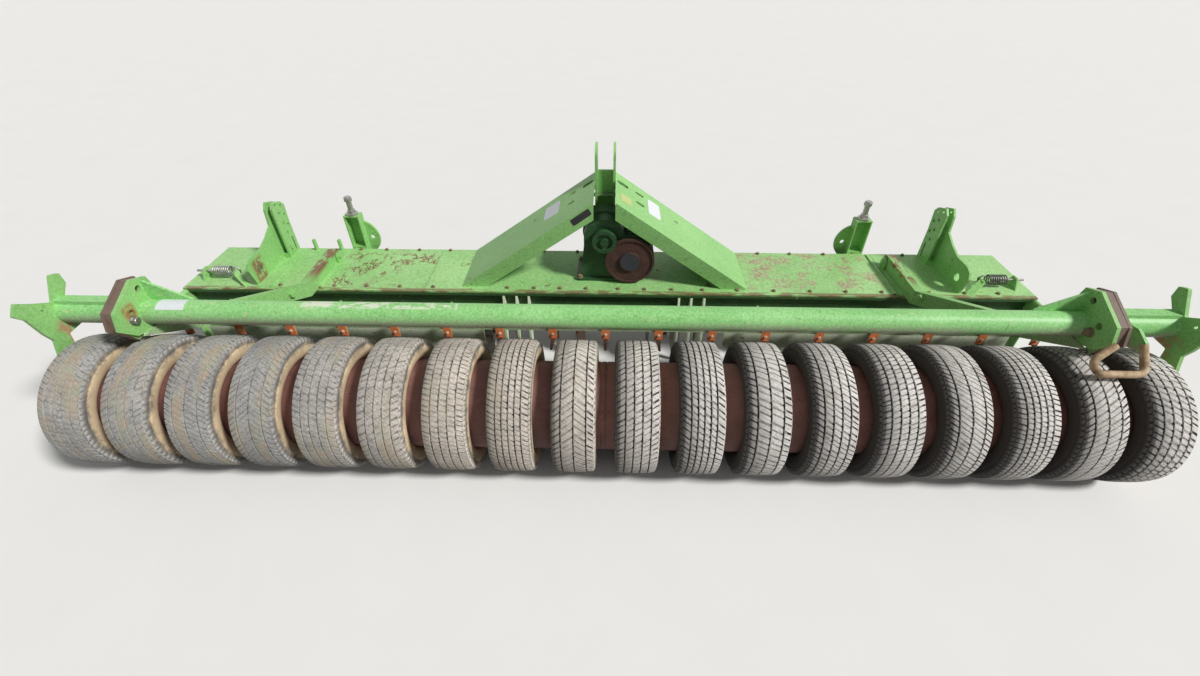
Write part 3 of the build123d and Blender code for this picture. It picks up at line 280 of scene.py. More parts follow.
def cover_wear(f):
    """Brown scratches on the left of the cover, rust with tan soil on the right, and rust along
    its rear edge."""
    brown = f.mix(f.noise(50.0, 4.0), (0.12, 0.05, 0.03), (0.28, 0.14, 0.075))
    lines = f.noise(9.0, 5.0, 0.72, stretch=(1.0, 0.7, 1.0)).near(0.5, 0.03)
    scraped = f.noise(5.0, 3.0).above(0.45, 0.1)
    left = f.box((-1.42, 0.15, 0.4), (-0.93, 0.46, 0.6), 0.06)
    right = f.box((0.55, 0.16, 0.4), (1.32, 0.5, 0.6), 0.06)
    patches = f.noise(13.0, 6.0, 0.78).above(0.49, 0.09)
    tan = f.mix(f.noise(60.0, 5.0, 0.7).above(0.4, 0.25), (0.3, 0.17, 0.11), (0.66, 0.53, 0.4))
    ragged = f.noise(30.0, 4.0, stretch=(0.3, 1.0, 1.0)).above(0.4, 0.15)
    edge = (1 - f.axis("Y").above(COVER_REAR, 0.012)) * ragged
    return ((lines * scraped * left * 1.8, brown), (patches * right * 0.75, tan),
            (edge * 0.8, brown))


def tube_wear(f):
    """Worn white strip on the top of the tube, and grey speckled dirt low on it."""
    flakes = f.noise(26.0, 5.0, 0.7, stretch=(0.5, 1.0, 1.0))
    strip = f.box((-1.25, TUBE_Y - 0.028, 0.6875), (-0.61, TUBE_Y + 0.024, 0.8), 0.006)
    low = 1 - f.axis("Z").above(0.628, 0.044)
    speckle = f.noise(85.0, 5.0, 0.75)
    blotches = f.noise(8.0, 4.0, stretch=(0.4, 1.0, 1.0)).above(0.3, 0.2)
    soil = low * blotches * speckle.above(0.42, 0.1)
    grey = f.mix(f.noise(140.0, 3.0), (0.18, 0.15, 0.1), (0.62, 0.58, 0.5))
    return ((strip * flakes.above(0.46, 0.07) * 0.8, (0.84, 0.84, 0.72)), (soil * 0.9, grey))


def flange_wear(f):
    """Brown rust on the outer plates of both stacks, and lighter rust round the worn hole of the
    left flange."""
    brown = f.mix(f.noise(30.0, 5.0, 0.7), (0.1, 0.06, 0.045), (0.24, 0.17, 0.13))
    x = f.axis("X")
    outer = x.above(FLANGE_OUTER, 0.002) + (1 - x.above(-FLANGE_OUTER - 0.002, 0.002))
    hole = f.box((-1.93, -0.375, 0.655), (-1.89, -0.32, 0.715), 0.025)
    orange_rust = f.mix(f.noise(60.0, 4.0), (0.25, 0.1, 0.04), (0.5, 0.24, 0.1))
    return ((outer * f.noise(12.0, 4.0).above(0.25, 0.1), brown),
            (hole * f.noise(40.0, 5.0, 0.7).above(0.35, 0.1), orange_rust))


def quadrant_wear(f):
    """Rust round the pivot hole of the left quadrant."""
    brown = f.mix(f.noise(50.0, 5.0, 0.7), (0.13, 0.06, 0.035), (0.42, 0.24, 0.13))
    pivot = f.box((-1.8, 0.17, 0.48), (-1.7, 0.25, 0.6), 0.03)
    return ((pivot * f.noise(33.0, 5.0, 0.7).above(0.4, 0.08), brown),)


def end_wear(f):
    """Rust on the lower rear arms of the star-shaped end plates."""
    brown = f.mix(f.noise(40.0, 5.0, 0.7), (0.32, 0.17, 0.08), (0.66, 0.45, 0.27))
    arms = f.box((-2.4, -0.36, 0.44), (2.4, -0.2, 0.6), 0.05)
    return ((arms * f.noise(16.0, 5.0, 0.7).above(0.47, 0.08), brown),)


def arm_wear(f):
    """Rust on the front half of the arms, heaviest on top."""
    brown = f.mix(f.noise(45.0, 5.0, 0.7), (0.1, 0.045, 0.028), (0.34, 0.18, 0.1))
    front = f.axis("Y").above(0.09, 0.12) * f.axis("Z").above(0.535, 0.03)
    streaks = f.noise(13.0, 5.0, 0.72, stretch=(1.0, 0.45, 1.0)).above(0.44, 0.08)
    return ((front * streaks, brown),)


def leg_slot_shade(f):
    """Painted shade in the legs' slots: what faces up a little below the upper face's plane is
    darkened.
    """
    plane = LEG_TOP - LEG_SLOPE * f.axis("X").distance(HARROW_X)
    below = (plane - f.axis("Z")).above(0.0012, 0.0012) * f.facing("Z").above(0.3, 0.1)
    return ((below * 0.8, (0.055, 0.06, 0.04)),)


def board_wear(f):
    """Rusty, scuffed lower edge of the levelling boards."""
    low = 1 - f.axis("Z").above(0.17, 0.07)
    brown = f.mix(f.noise(40.0, 4.0), (0.14, 0.07, 0.04), (0.36, 0.23, 0.14))
    return ((low * f.noise(13.0, 5.0, 0.7).above(0.4, 0.08), brown),)


def rusty_iron(name, dark, light, rough=0.8, hub=None):
    """Iron rusted all over, in dark and light blotches, with pits; hub is the middle and radius,
    in X and Z, of a round bluish grey place."""
    f = Finish(name)
    blotch = f.noise(14.0, 6.0, 0.68)
    pits = f.cells(120.0)
    colour = f.mix((blotch * 1.8 - 0.45).clipped(), dark, light)
    colour = f.lay(colour, (1 - pits.above(0.2, 0.2)) * 0.4, (0.03, 0.015, 0.01))
    if hub:
        reach = ((f.axis("X") - hub[0]) ** 2 + (f.axis("Z") - hub[1]) ** 2) ** 0.5
        bluish = (1 - (reach + 0.02 * blotch).above(hub[2], 0.012)) * (0.6 + 0.4 * blotch)
        colour = f.lay(colour, bluish, (0.035, 0.045, 0.06))
    return f.finish(colour, rough, blotch - 0.3 * (1 - pits.above(0.2, 0.3)), 0.0015)


def bare_steel(name, tint=(0.42, 0.41, 0.38), rust=0.35):
    """Dull steel with thin rust in patches."""
    f = Finish(name)
    cloud = f.noise(17.0, 5.0, 0.6)
    grain = f.noise(240.0, 2.0)
    rusty = cloud.above(0.66 - 0.25 * rust, 0.12)
    colour = f.mix((0.5 * grain + 0.2).clipped(), tint, (0.24, 0.23, 0.21))
    colour = f.mix(rusty, colour, f.mix(grain, (0.16, 0.07, 0.035), (0.3, 0.15, 0.08)))
    return f.finish(colour, (0.34 + 0.4 * rusty + 0.15 * grain).clipped(), grain, 0.0004,
                    metallic=(0.85 - 0.8 * rusty).clipped())


def orange_paint(name):
    """Chipped orange paint with dark bare spots; the blades behind the clips are dark brown."""
    f = Finish(name)
    cloud = f.noise(26.0, 5.0, 0.65)
    colour = f.mix((cloud * 1.5 - 0.4).clipped(), (0.72, 0.17, 0.045), (0.98, 0.4, 0.17))
    chip = f.noise(47.0, 5.0, 0.7).above(0.6, 0.05)
    colour = f.lay(colour, chip * 0.85, (0.12, 0.055, 0.035))
    blade = 1 - f.axis("Y").above(CLIP_REAR, 0.003)
    iron = f.mix(f.noise(60.0, 4.0), (0.045, 0.024, 0.018), (0.13, 0.065, 0.045))
    colour = f.lay(colour, blade, iron)
    return f.finish(colour, (0.5 + 0.3 * chip).clipped(), cloud - 0.5 * chip, 0.0008)


def dusty_rubber(name):
    """Old rubber. The tread is grey, darker on the left-hand tyres and warmer left of the
    middle, with soil and scuffs; on the right-hand tyres it is paler, near white as painted light,
    with painted shade on its left side and a black painted shadow at the left shoulder. Its grooves
    are painted black as shade, and so are fine cuts that run across it, two to a pitch. The
    left-hand tyres have an olive band. Walls are dark, those that face left near black as painted
    shade, and those that face right carry tan mud low down."""
    f = Finish(name)
    groove, wall, tread, across, pitch = (
        f.attribute(key) for key in ("groove", "wall", "tread", "across", "pitch"))
    cloud = f.noise(7.0, 5.0, 0.6)
    fine = f.noise(120.0, 4.0, 0.65)
    soil = f.noise(15.0, 5.0, 0.65)
    scuff = f.noise(46.0, 6.0, 0.8)
    # rises from 0 on the left-hand tyres to 1 on the right-hand ones, where the painted light and
    # shade below are laid
    right_hand_share = f.axis("X").above(-1.5, 1.9)

    shade = (cloud * 1.2 - 1.05 + 1.95 * fine).clipped()
    darker = f.mix(shade, (0.2, 0.202, 0.206), (0.53, 0.52, 0.5))
    # dust with painted light: the right-hand treads' tone runs up to near white, paler than dusty
    # rubber, standing in for bright sun on them
    lighter = f.mix(shade, (0.46, 0.445, 0.43), (0.94, 0.9, 0.86))
    warm = f.mix(shade, (0.42, 0.36, 0.3), (0.95, 0.83, 0.71))
    colour = f.mix(right_hand_share, darker, lighter)
    colour = f.lay(colour, f.axis("X").near(-0.45, 0.85) * 0.7, warm)
    colour = f.lay(colour, soil.above(0.58, 0.12) * 0.35, (0.3, 0.22, 0.14))
    # painted shade: the right-hand treads darken towards their left side
    painted_side_shade = (0 - across).above(-0.3, 1.4) * right_hand_share * tread
    colour = f.lay(colour, painted_side_shade * (0.3 + 0.8 * cloud), (0.11, 0.105, 0.1))
    # painted shadow: the left shoulder of the right-hand treads is laid near black
    corner = (0 - across + 0.25 * scuff).above(0.93, 0.12) * right_hand_share
    colour = f.lay(colour, corner * 0.85, (0.02, 0.019, 0.018))
    colour = f.lay(colour, scuff.above(0.57, 0.09) * 0.5, (0.1, 0.095, 0.09))

    angle = (f.axis("Z") - AXLE_Z).angle_to(f.axis("Y") - AXLE_Y)
    wave = angle * pitch * WAVES_A_PITCH - f.axis("X") * 90 + cloud * 2.5
    # painted shade: the fine cross cuts are laid as dark lines; the same mask also sinks them in
    # the bump
    cuts = wave.to_and_fro().near(0.0, 0.2) * tread * f.noise(30.0, 3.0).above(0.46, 0.1)
    colour = f.lay(colour, cuts * 0.7, (0.05, 0.047, 0.044))
    # painted shade: grooves, cuts and notches are laid near black, darkest on the right-hand tyres
    depth = 0.2 + 0.35 * right_hand_share
    worn = depth + (1 - depth) * f.noise(31.0, 5.0, 0.7).above(0.42, 0.12)
    groove_shade_tone = f.mix(right_hand_share, (0.06, 0.057, 0.052), (0.01, 0.0095, 0.009))
    colour = f.lay(colour, groove * worn * (0.6 + 0.65 * right_hand_share), groove_shade_tone)
    band = f.noise(4.0, 5.0, 0.6, stretch=(4.0, 0.8, 0.8)).above(0.47, 0.16) * tread
    olive = f.mix(soil.above(0.42, 0.2), (0.47, 0.36, 0.25), (0.4, 0.42, 0.3))
    colour = f.lay(colour, band * (1 - right_hand_share) * 0.65, olive)

    # painted shade: walls facing left get a near-black tone and walls facing right a grey one, as
    # lit from the right; the tan mud goes only on walls facing right
    right = f.facing("X")
    grey = f.mix(soil, (0.09, 0.085, 0.08), (0.27, 0.25, 0.215))
    dark = f.mix(soil, (0.009, 0.008, 0.008), (0.03, 0.026, 0.024))
    wall_with_painted_shade = f.mix(right.above(-0.2, 0.4), dark, grey)
    colour = f.lay(colour, wall.above(0.02, 0.2) * 0.95, wall_with_painted_shade)
    tan = f.mix((soil * 1.5 - 0.3).clipped(), (0.55, 0.4, 0.25), (0.95, 0.76, 0.5))
    muddy = (wall + 0.9 * soil + 0.25 * fine).above(0.72, 0.42) * right.above(0.0, 0.3)
    colour = f.lay(colour, muddy * 0.95, tan)
    return f.finish(colour, 0.85, fine + 0.5 * soil - 0.8 * cuts, 0.0008)


def drum_iron(name):
    """Reddish brown, smoothly rusted drum with dark patches."""
    f = Finish(name)
    cloud = f.noise(5.5, 6.0, 0.62)
    fine = f.noise(70.0, 4.0, 0.6)
    streak = f.noise(13.0, 5.0, 0.7, stretch=(0.5, 1.6, 1.6))
    colour = f.mix((cloud * 1.8 - 0.5).clipped(), (0.13, 0.055, 0.042), (0.34, 0.165, 0.15))
    colour = f.lay(colour, streak.above(0.56, 0.2) * 0.45, (0.4, 0.22, 0.17))
    colour = f.lay(colour, fine.above(0.62, 0.06) * 0.6, (0.06, 0.03, 0.025))
    return f.finish(colour, (0.5 + 0.25 * cloud).clipped(), fine, 0.0005)


def sandy_iron(name):
    """Round bar worn bare, with dry soil on it."""
    f = Finish(name)
    cloud = f.noise(23.0, 5.0, 0.65)
    colour = f.ramp(cloud, (0.3, (0.16, 0.1, 0.06)), (0.5, (0.45, 0.31, 0.18)),
                    (0.72, (0.7, 0.55, 0.37)))
    return f.finish(colour, 0.75, cloud, 0.002)


def plain_film(name, colour, dirt=(0.3, 0.26, 0.2)):
    """Blank sticker or plate, scuffed."""
    f = Finish(name)
    scuff = f.noise(55.0, 5.0, 0.7)
    mixed = f.lay(colour, scuff.above(0.6, 0.12) * 0.6, dirt)
    return f.finish(mixed, 0.4 + 0.2 * scuff, scuff, 0.0003)


def pale_floor(name):
    """Matt floor, pale where the camera or a glossy surface sees it and a plain mid grey in the
    light that it throws back."""
    f = Finish(name)
    grain = f.noise(3.0, 3.0)
    colour = f.mix(grain, (0.86, 0.86, 0.855), (0.9, 0.9, 0.895))
    seen = f.node("ShaderNodeLightPath", {}, {}, "Is Camera Ray")
    shiny = f.node("ShaderNodeLightPath", {}, {}, "Is Glossy Ray")
    colour = f.mix((seen + shiny).clipped(), (0.3, 0.3, 0.295), colour)
    return f.finish(colour, 0.9)


# shapes

def grid_faces(rows, columns, close_rows=False, close_columns=False):
    """Quads of a grid of points kept row by row; either way may close on itself."""
    i = np.arange(rows if close_rows else rows - 1)[:, None]
    j = np.arange(columns if close_columns else columns - 1)[None, :]
    a = i * columns + j
    b = i * columns + (j + 1) % columns
    c = ((i + 1) % rows) * columns + (j + 1) % columns
    d = ((i + 1) % rows) * columns + j
    return np.stack([a, b, c, d], axis=-1).reshape(-1, 4)


def mesh_piece(name, points, quads, finish, body, smooth=True, extra=(), values=None):
    """A mesh object from point rows, quads and other faces, riding on a body of the part;
    values are attributes, one number for each point."""
    faces = quads.tolist() + [list(face) for face in extra]
    mesh = bpy.data.meshes.new(name)
    mesh.from_pydata(np.asarray(points, dtype=float).tolist(), [], faces)
    mesh.polygons.foreach_set("use_smooth", np.full(len(faces), smooth, dtype=bool))
    for key, numbers in (values or {}).items():
        layer = mesh.attributes.new(key, "FLOAT", "POINT")
        layer.data.foreach_set("value", np.asarray(numbers, dtype=np.float32).ravel())
    mesh.materials.append(finish)
    mesh.update()
    piece = bpy.data.objects.new(name, mesh)
    bpy.context.scene.collection.objects.link(piece)
    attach(piece, body)
    return piece


def square_to(direction):
    """Two unit vectors square to a direction and to each other."""
    direction = np.asarray(direction, dtype=float)
    helper = np.array((0.0, 0.0, 1.0)) if abs(direction[2]) < 0.9 else np.array((1.0, 0.0, 0.0))
    u = np.cross(direction, helper)
    u /= np.linalg.norm(u)
    return u, np.cross(direction, u)


def flat_ends(around, total):
    """The first and the last ring of so many points as two faces, outward."""
    return [list(range(around))[::-1], list(range(total - around, total))]


def lathe(name, profile, around, finish, body):
    """Surface of revolution about the packer's axle: the point at (x, r) of the profile goes
    to (x, axle + r cos t, axle + r sin t). The profile's ends, with r = 0, close it."""
    profile = np.asarray(profile, dtype=float)
    t = np.linspace(0, 2 * np.pi, around, endpoint=False)
    inner = profile[1:-1]
    x = np.repeat(inner[:, 0][:, None], around, axis=1)
    points = np.stack([x, AXLE_Y + inner[:, 1][:, None] * np.cos(t),
                       AXLE_Z + inner[:, 1][:, None] * np.sin(t)], axis=-1).reshape(-1, 3)
    pole = len(points)
    points = np.vstack([points, [[x, AXLE_Y, AXLE_Z] for x in profile[[0, -1], 0]]])
    quads = grid_faces(len(inner), around, close_columns=True)
    ring = np.arange(around)
    after = (ring + 1) % around
    last = (len(inner) - 1) * around
    start = [[pole, b, a] for a, b in zip(ring.tolist(), after.tolist())]
    stop = [[pole + 1, last + a, last + b] for a, b in zip(ring.tolist(), after.tolist())]
    return mesh_piece(name, points, quads, finish, body, extra=start + stop)


def tube_along(name, path, radius, finish, body, around=10):
    """Round bar along a path: at each point p a ring p + radius (side cos t + up sin t), square
    to the path and carried along by the smallest turn from one direction to the next; flat
    ends."""
    path = np.asarray(path, dtype=float)
    ahead = np.gradient(path, axis=0)
    ahead /= np.linalg.norm(ahead, axis=1)[:, None]
    sides = [square_to(ahead[0])[0]]
    for a in ahead[1:]:
        s = sides[-1] - a * np.dot(sides[-1], a)
        sides.append(s / np.linalg.norm(s))
    sides = np.array(sides)
    ups = np.cross(ahead, sides)
    t = np.linspace(0, 2 * np.pi, around, endpoint=False)
    ring = sides[:, None, :] * np.cos(t)[None, :, None] + ups[:, None, :] * np.sin(t)[None, :, None]
    points = (path[:, None, :] + radius * ring).reshape(-1, 3)
    quads = grid_faces(len(path), around, close_columns=True)
    return mesh_piece(name, points, quads, finish, body,
                      extra=flat_ends(around, len(points)))


# Left half of a tyre's section from the bead to the shoulder: x from its middle, and radius
WALL_LINE = ((-0.066, 0.1885), (-0.0735, 0.1895), (-0.0795, 0.197), (-0.0845, 0.209),
             (-0.0875, 0.222), (-0.0885, 0.235), (-0.088, 0.2443), (-0.0864, 0.2457),
             (-0.0873, 0.2474), (-0.0868, 0.2575), (-0.085, 0.2655), (-0.0824, 0.2717))
SHOULDER_RADIUS = WALL_LINE[-1][1]
NOTCH_RADIUS = 0.262  # the cuts go on over the shoulder down to here
NOTCH_SHARE = 0.04  # of x, which the wall gives way there
MUD_HEIGHT = 0.08  # below the shoulder, over which the attribute wall grows to 1
CROWN_RADIUS = 0.2819
CROWN_DROP = 0.0055  # how much lower the tread is at its edges
HALF_TREAD = 0.079
GROOVE_SHARE = 0.62  # of half the tread, where the outermost grooves lie
GROOVE_REACH = 0.0037  # from a groove's middle to its upper edges
GROOVE_STEP = 0.0014  # sideways, at each cut
CUT_DEPTH = 0.8  # of the grooves' depth
PITCH_ROWS = np.array([0.0, 0.69, 0.73, 0.96])  # shares of a pitch: block, block, cut, cut


def tyre(index, design, finish):
    """One worn tyre: its section is a closed outline in (x, r) carried round the axle. The
    tread's r is lowered in grooves at fixed x, which step aside at each cut, and in cross cuts
    at every pitch round the tyre, a pitch that two sines vary; the grid is sheared round the
    axle with x, so that the cuts slant."""
    ribs, pitches, slant, chevron, depth = design

    # the section from bead to bead, a row of points with what each of them is
    reach = HALF_TREAD * GROOVE_SHARE
    grooves = np.linspace(-reach, reach, ribs - 1)
    crown = []
    for place in grooves:
        crown += [(place - GROOVE_REACH, 0.0), (place - GROOVE_REACH * 0.5, 1.0),
                  (place + GROOVE_REACH * 0.5, 1.0), (place + GROOVE_REACH, 0.0)]
    for part in (1, 0.94, 0.86, 0.76):
        crown += [(-HALF_TREAD * part, 0.0), (HALF_TREAD * part, 0.0)]
    crown += [((a + b) / 2, 0.0) for a, b in zip(grooves, grooves[1:])]
    crown = np.array(sorted(crown))
    dome = CROWN_RADIUS - CROWN_DROP * (np.abs(crown[:, 0]) / HALF_TREAD) ** 3
    left = np.array(WALL_LINE)
    right = left[::-1] * (-1, 1)
    section = np.vstack([left, np.stack([crown[:, 0], dome], axis=1), right])
    flat = np.zeros(len(left))
    groove = np.concatenate([flat, crown[:, 1], flat])
    tread = np.concatenate([flat, np.ones(len(crown)), flat])
    wall = np.clip((SHOULDER_RADIUS - section[:, 1]) / MUD_HEIGHT, 0, 1) * (tread == 0)

    # round the tyre, four rows to a pitch
    cut = np.tile((0.0, 0.0, 1.0, 1.0), pitches)[:, None]
    step = np.tile((1.0, 1.0, -1.0, -1.0), pitches)[:, None]
    k = np.arange(pitches)
    share = 1 + 0.2 * np.sin(2.4 * k + index) + 0.12 * np.sin(5.1 * k)
    share /= share.sum()
    start = np.cumsum(share) - share
    turn = (start[:, None] + share[:, None] * PITCH_ROWS[None, :]).ravel() * 2 * np.pi
    x = section[:, 0]
    lean = slant * np.where(chevron, np.abs(x), x) * tread
    offset = (np.digitize(x, grooves) % 2) * np.pi / pitches * tread
    angle = turn[:, None] + lean[None, :] + offset[None, :]

    # how far each point of the grid is lowered or moved, and how much painted shade the finish lays
    # on it
    shoulder = np.clip((np.abs(x) - HALF_TREAD * 0.45) / (HALF_TREAD * 0.5), 0.25, 1.0)
    lowered = np.maximum(groove, CUT_DEPTH * cut * tread * shoulder)
    radius = section[:, 1] - depth * lowered
    notch = cut * ((tread == 0) * (section[:, 1] > NOTCH_RADIUS))
    aside = GROOVE_STEP * step * (tread * np.clip(1 - np.abs(x) / HALF_TREAD, 0, 0.5) * 2)
    middle = (index - (TYRES - 1) / 2) * TYRE_PITCH
    points = np.stack([middle + x * (1 - NOTCH_SHARE * notch) + aside,
                       AXLE_Y + radius * np.cos(angle), AXLE_Z + radius * np.sin(angle)],
                      axis=-1).reshape(-1, 3)
    # painted shade: grooves, cuts and shoulder notches get a number by which the finish darkens
    # them
    dark = np.maximum(lowered, cut * tread * (0.4 + 0.5 * shoulder))
    dark = np.maximum(dark, 0.9 * notch)
    quads = grid_faces(len(turn), len(x), close_rows=True, close_columns=True)[:, ::-1]
    smooth = np.tile((tread == 0) | (np.roll(tread, -1) == 0), len(turn))
    rows = {"groove": dark, "wall": wall, "tread": tread, "pitch": pitches,
            "across": x / HALF_TREAD}
    return mesh_piece(f"tyre_{index + 1:02d}", points, quads, finish, "roller",
                      smooth, values={key: np.broadcast_to(row, dark.shape)
                                      for key, row in rows.items()})


HEAD_POINTS = 12


def bolts(name, places, direction, across, height, finish, body, washer=1.35):
    """Hexagon heads on washers as one mesh: rings of 12 points at levels along the direction,
    the washer's round and the head's hexagonal, r cos(30) / cos(t turned into its side's
    sector), one copy at each place."""
    direction = np.asarray(direction, dtype=float)
    u, v = square_to(direction)
    t = np.linspace(0, 2 * np.pi, HEAD_POINTS, endpoint=False)
    flat = np.cos(np.pi / 6) / np.cos((t + np.pi / 6) % (np.pi / 3) - np.pi / 6)
    round_one = np.ones(HEAD_POINTS)
    r = across / 2
    top = height * 0.22
    # radii and levels: the washer's foot and top, the head's foot and bevel, its flat top
    rings = [(washer * r * round_one, -0.0005), (washer * r * round_one, top),
             (r * flat * 1.05, top), (r * flat * 1.05, height * 0.88),
             (r * 0.86 * round_one, height)]
    one = np.concatenate([radius[:, None] * (np.cos(t)[:, None] * u + np.sin(t)[:, None] * v)
                          + level * direction for radius, level in rings])
    places = np.asarray(places, dtype=float)
    points = (places[:, None, :] + one[None, :, :]).reshape(-1, 3)
    start = np.arange(len(places)) * len(one)
    quads = grid_faces(len(rings), HEAD_POINTS, close_columns=True)
    quads = (start[:, None, None] + quads[None, :, :]).reshape(-1, 4)
    caps = [[s + point for point in face] for s in start.tolist()
            for face in flat_ends(HEAD_POINTS, len(one))]
    return mesh_piece(name, points, quads, finish, body, smooth=False, extra=caps)


RIM_POINTS = 48
RIM_POWER = 0.18
LABEL_GAP = 0.0002
LABEL_THICKNESS = 0.0006


def flat_patch(name, corner, along, up, thickness, finish, body):
    """A thin blank plate with rounded corners: the rim corner + a along + b up, where a and b
    are 0.5 plus half of cos t and sin t raised to the power 0.18 with their sign kept, and the
    same rim again, moved by the thickness along the plate's normal."""
    corner, along, up = (np.asarray(a, dtype=float) for a in (corner, along, up))
    normal = np.cross(along, up)
    normal /= np.linalg.norm(normal)
    t = np.linspace(0, 2 * np.pi, RIM_POINTS, endpoint=False)
    a, b = (0.5 + 0.5 * np.sign(wave) * np.abs(wave) ** RIM_POWER
            for wave in (np.cos(t), np.sin(t)))
    rim = corner + a[:, None] * along + b[:, None] * up
    points = np.vstack([rim, rim + thickness * normal])
    quads = grid_faces(2, RIM_POINTS, close_columns=True)
    return mesh_piece(name, points, quads, finish, body, smooth=False,
                      extra=flat_ends(RIM_POINTS, len(points)))


def leg_height(x):
    """Height of the headstock legs' upper faces at x."""
    return LEG_TOP - LEG_SLOPE * abs(x - HARROW_X)


def leg_label(name, x0, x1, y0, y1, finish):
    """Blank label on a leg's upper face, a flat_patch between two values of x and of y."""
    corner, along, up = (np.array((x, y, leg_height(x) + LABEL_GAP))
                         for x, y in ((x0, y0), (x1, y0), (x0, y1)))
    flat_patch(name, corner, along - corner, up - corner, LABEL_THICKNESS, finish, "harrow")


def tube_label(name, x0, x1, start, stop, finish, body):
    """Thin blank label bent round the carrier tube, between two angles in degrees from forwards
    over the top: r cos t and r sin t at two radii, as a closed loop at each end."""
    t = np.radians(np.linspace(start, stop, 14))
    arc = np.stack([np.cos(t), np.sin(t)], axis=1)
    loop = np.concatenate([arc * (TUBE_RADIUS + 0.0009), arc[::-1] * (TUBE_RADIUS + 0.0001)])
    count = len(loop)
    rows = [np.column_stack([np.full(count, x), TUBE_Y + loop[:, 0], TUBE_Z + loop[:, 1]])
            for x in (x0, x1)]
    i = np.arange(len(t) - 1)
    ends = np.stack([i, count - 1 - i, count - 2 - i, i + 1], axis=1)
    quads = np.vstack([grid_faces(2, count, close_columns=True), ends, ends[:, ::-1] + count])
    return mesh_piece(name, np.vstack(rows), quads, finish, body, smooth=False)


COIL_TURNS = 8
COIL_RADIUS = 0.023
COIL_START = 1.848
COIL_LENGTH = 0.086
EYE_X = 1.825
EYE_RADIUS = 0.021
WIRE_RADIUS = 0.0032


def coil_spring(name, side, finish):
    """Shield spring from one wire: a ring eye, x and z running as cos t and sin t, then a helix
    of eight turns at an even pitch along x, y and z running as cos t and sin t, up to the
    eyebolt."""
    t = np.linspace(-0.35 * np.pi, 1.5 * np.pi, 26)
    eye = np.stack([EYE_X + EYE_RADIUS * np.cos(t), np.full(t.shape, SPRING_Y),
                    SPRING_Z + EYE_RADIUS * np.sin(t)], axis=1)
    share = np.linspace(0, 1, COIL_TURNS * 18)
    t = share * COIL_TURNS * 2 * np.pi - 0.5 * np.pi
    helix = np.stack([COIL_START + COIL_LENGTH * share, SPRING_Y + COIL_RADIUS * np.cos(t),
                      SPRING_Z + COIL_RADIUS * np.sin(t)], axis=1)
    path = np.vstack([eye, helix])
    if side < 0:
        path[:, 0] = 2 * HARROW_X - path[:, 0]
    return tube_along(name, path, WIRE_RADIUS, finish, "harrow", around=8)


# finishes in use

cover_green = worn_green("cover_green", tone=(0.2, 0.48, 0.13), pale=(0.46, 0.76, 0.33),
                         chips=0.3, rust=0.3, dust=0.5, worn_places=cover_wear)
tube_green = worn_green("tube_green", tone=(0.17, 0.49, 0.13), pale=(0.4, 0.78, 0.32),
                        chips=0.9, rust=0.05, dust=0.15, grime=0.9, worn_places=tube_wear)
leg_green = worn_green("leg_green", chips=0.25, rust=0.15, dust=0.2, worn_places=leg_slot_shade)
frame_green = worn_green("frame_green", chips=0.4, rust=0.3, dust=0.3)
arm_green = worn_green("arm_green", chips=0.3, rust=0.1, dust=0.2, worn_places=arm_wear)
flange_green = worn_green("flange_green", chips=0.3, rust=0.15, dust=0.2,
                          worn_places=flange_wear)
end_green = worn_green("end_green", chips=0.4, rust=0.3, dust=0.3, worn_places=end_wear)
quadrant_green = worn_green("quadrant_green", chips=0.4, rust=0.3, dust=0.3,
                            worn_places=quadrant_wear)
# painted light: the levelling boards and rear ribs get a green far paler than the rest of the
# paint, standing in for sunlight on them
board_green_painted_light = worn_green("board_green_painted_light", tone=(0.62, 0.78, 0.5), pale=(0.88, 0.95, 0.78),
                         rust=0.25, dust=0.3, grime=0.0, worn_places=board_wear)
# painted shade: the gear trough gets a near-black green, standing in for the shade it lies in under
# the cover and behind the tube
trough_green_painted_shade = worn_green("trough_green_painted_shade", tone=(0.03, 0.085, 0.028), pale=(0.06, 0.15, 0.05),
                          rust=0.3, grime=0.8)
casting_green = worn_green("casting_green", tone=(0.018, 0.06, 0.022), pale=(0.04, 0.12, 0.045),
                           chips=0.1, rust=0.3, dust=0.2)
# rust with painted shade: both rust tones of the gear cover are halved, standing in for the shade
# it lies in under the headstock
gear_cover_rust_and_shade = rusty_iron("gear_cover_rust_and_shade", (0.03, 0.014, 0.012), (0.11, 0.045, 0.033),
                        hub=(0.104, 0.627, 0.05))
bolt_rust = rusty_iron("bolt_rust", (0.11, 0.075, 0.04), (0.4, 0.3, 0.19), 0.7)
pale_bolt = rusty_iron("pale_bolt", (0.4, 0.25, 0.17), (0.86, 0.68, 0.54), 0.6)
steel = bare_steel("worn_steel")
spring_steel = bare_steel("spring_steel", tint=(0.55, 0.55, 0.53), rust=0.1)
# painted shade: a near-black copy of the spring steel for the right-hand spring, standing in for
# the shade it lies in
spring_steel_painted_shade = bare_steel("spring_steel_painted_shade", tint=(0.1, 0.1, 0.105), rust=0.1)
tine_steel = bare_steel("tine_steel", tint=(0.3, 0.28, 0.25), rust=0.7)
orange = orange_paint("orange_paint")
drum_finish = drum_iron("drum_iron")
sandy = sandy_iron("sandy_iron")
rubber = dusty_rubber("dusty_rubber")
white_film = plain_film("white_film", (0.78, 0.81, 0.86))
yellow_film = plain_film("yellow_film", (0.5, 0.56, 0.2), (0.25, 0.38, 0.12))
# painted shade: black film for the plate that stands in for the shade of a slot in the left leg
slot_shade_film = plain_film("slot_shade_film", (0.025, 0.025, 0.027), (0.12, 0.11, 0.1))

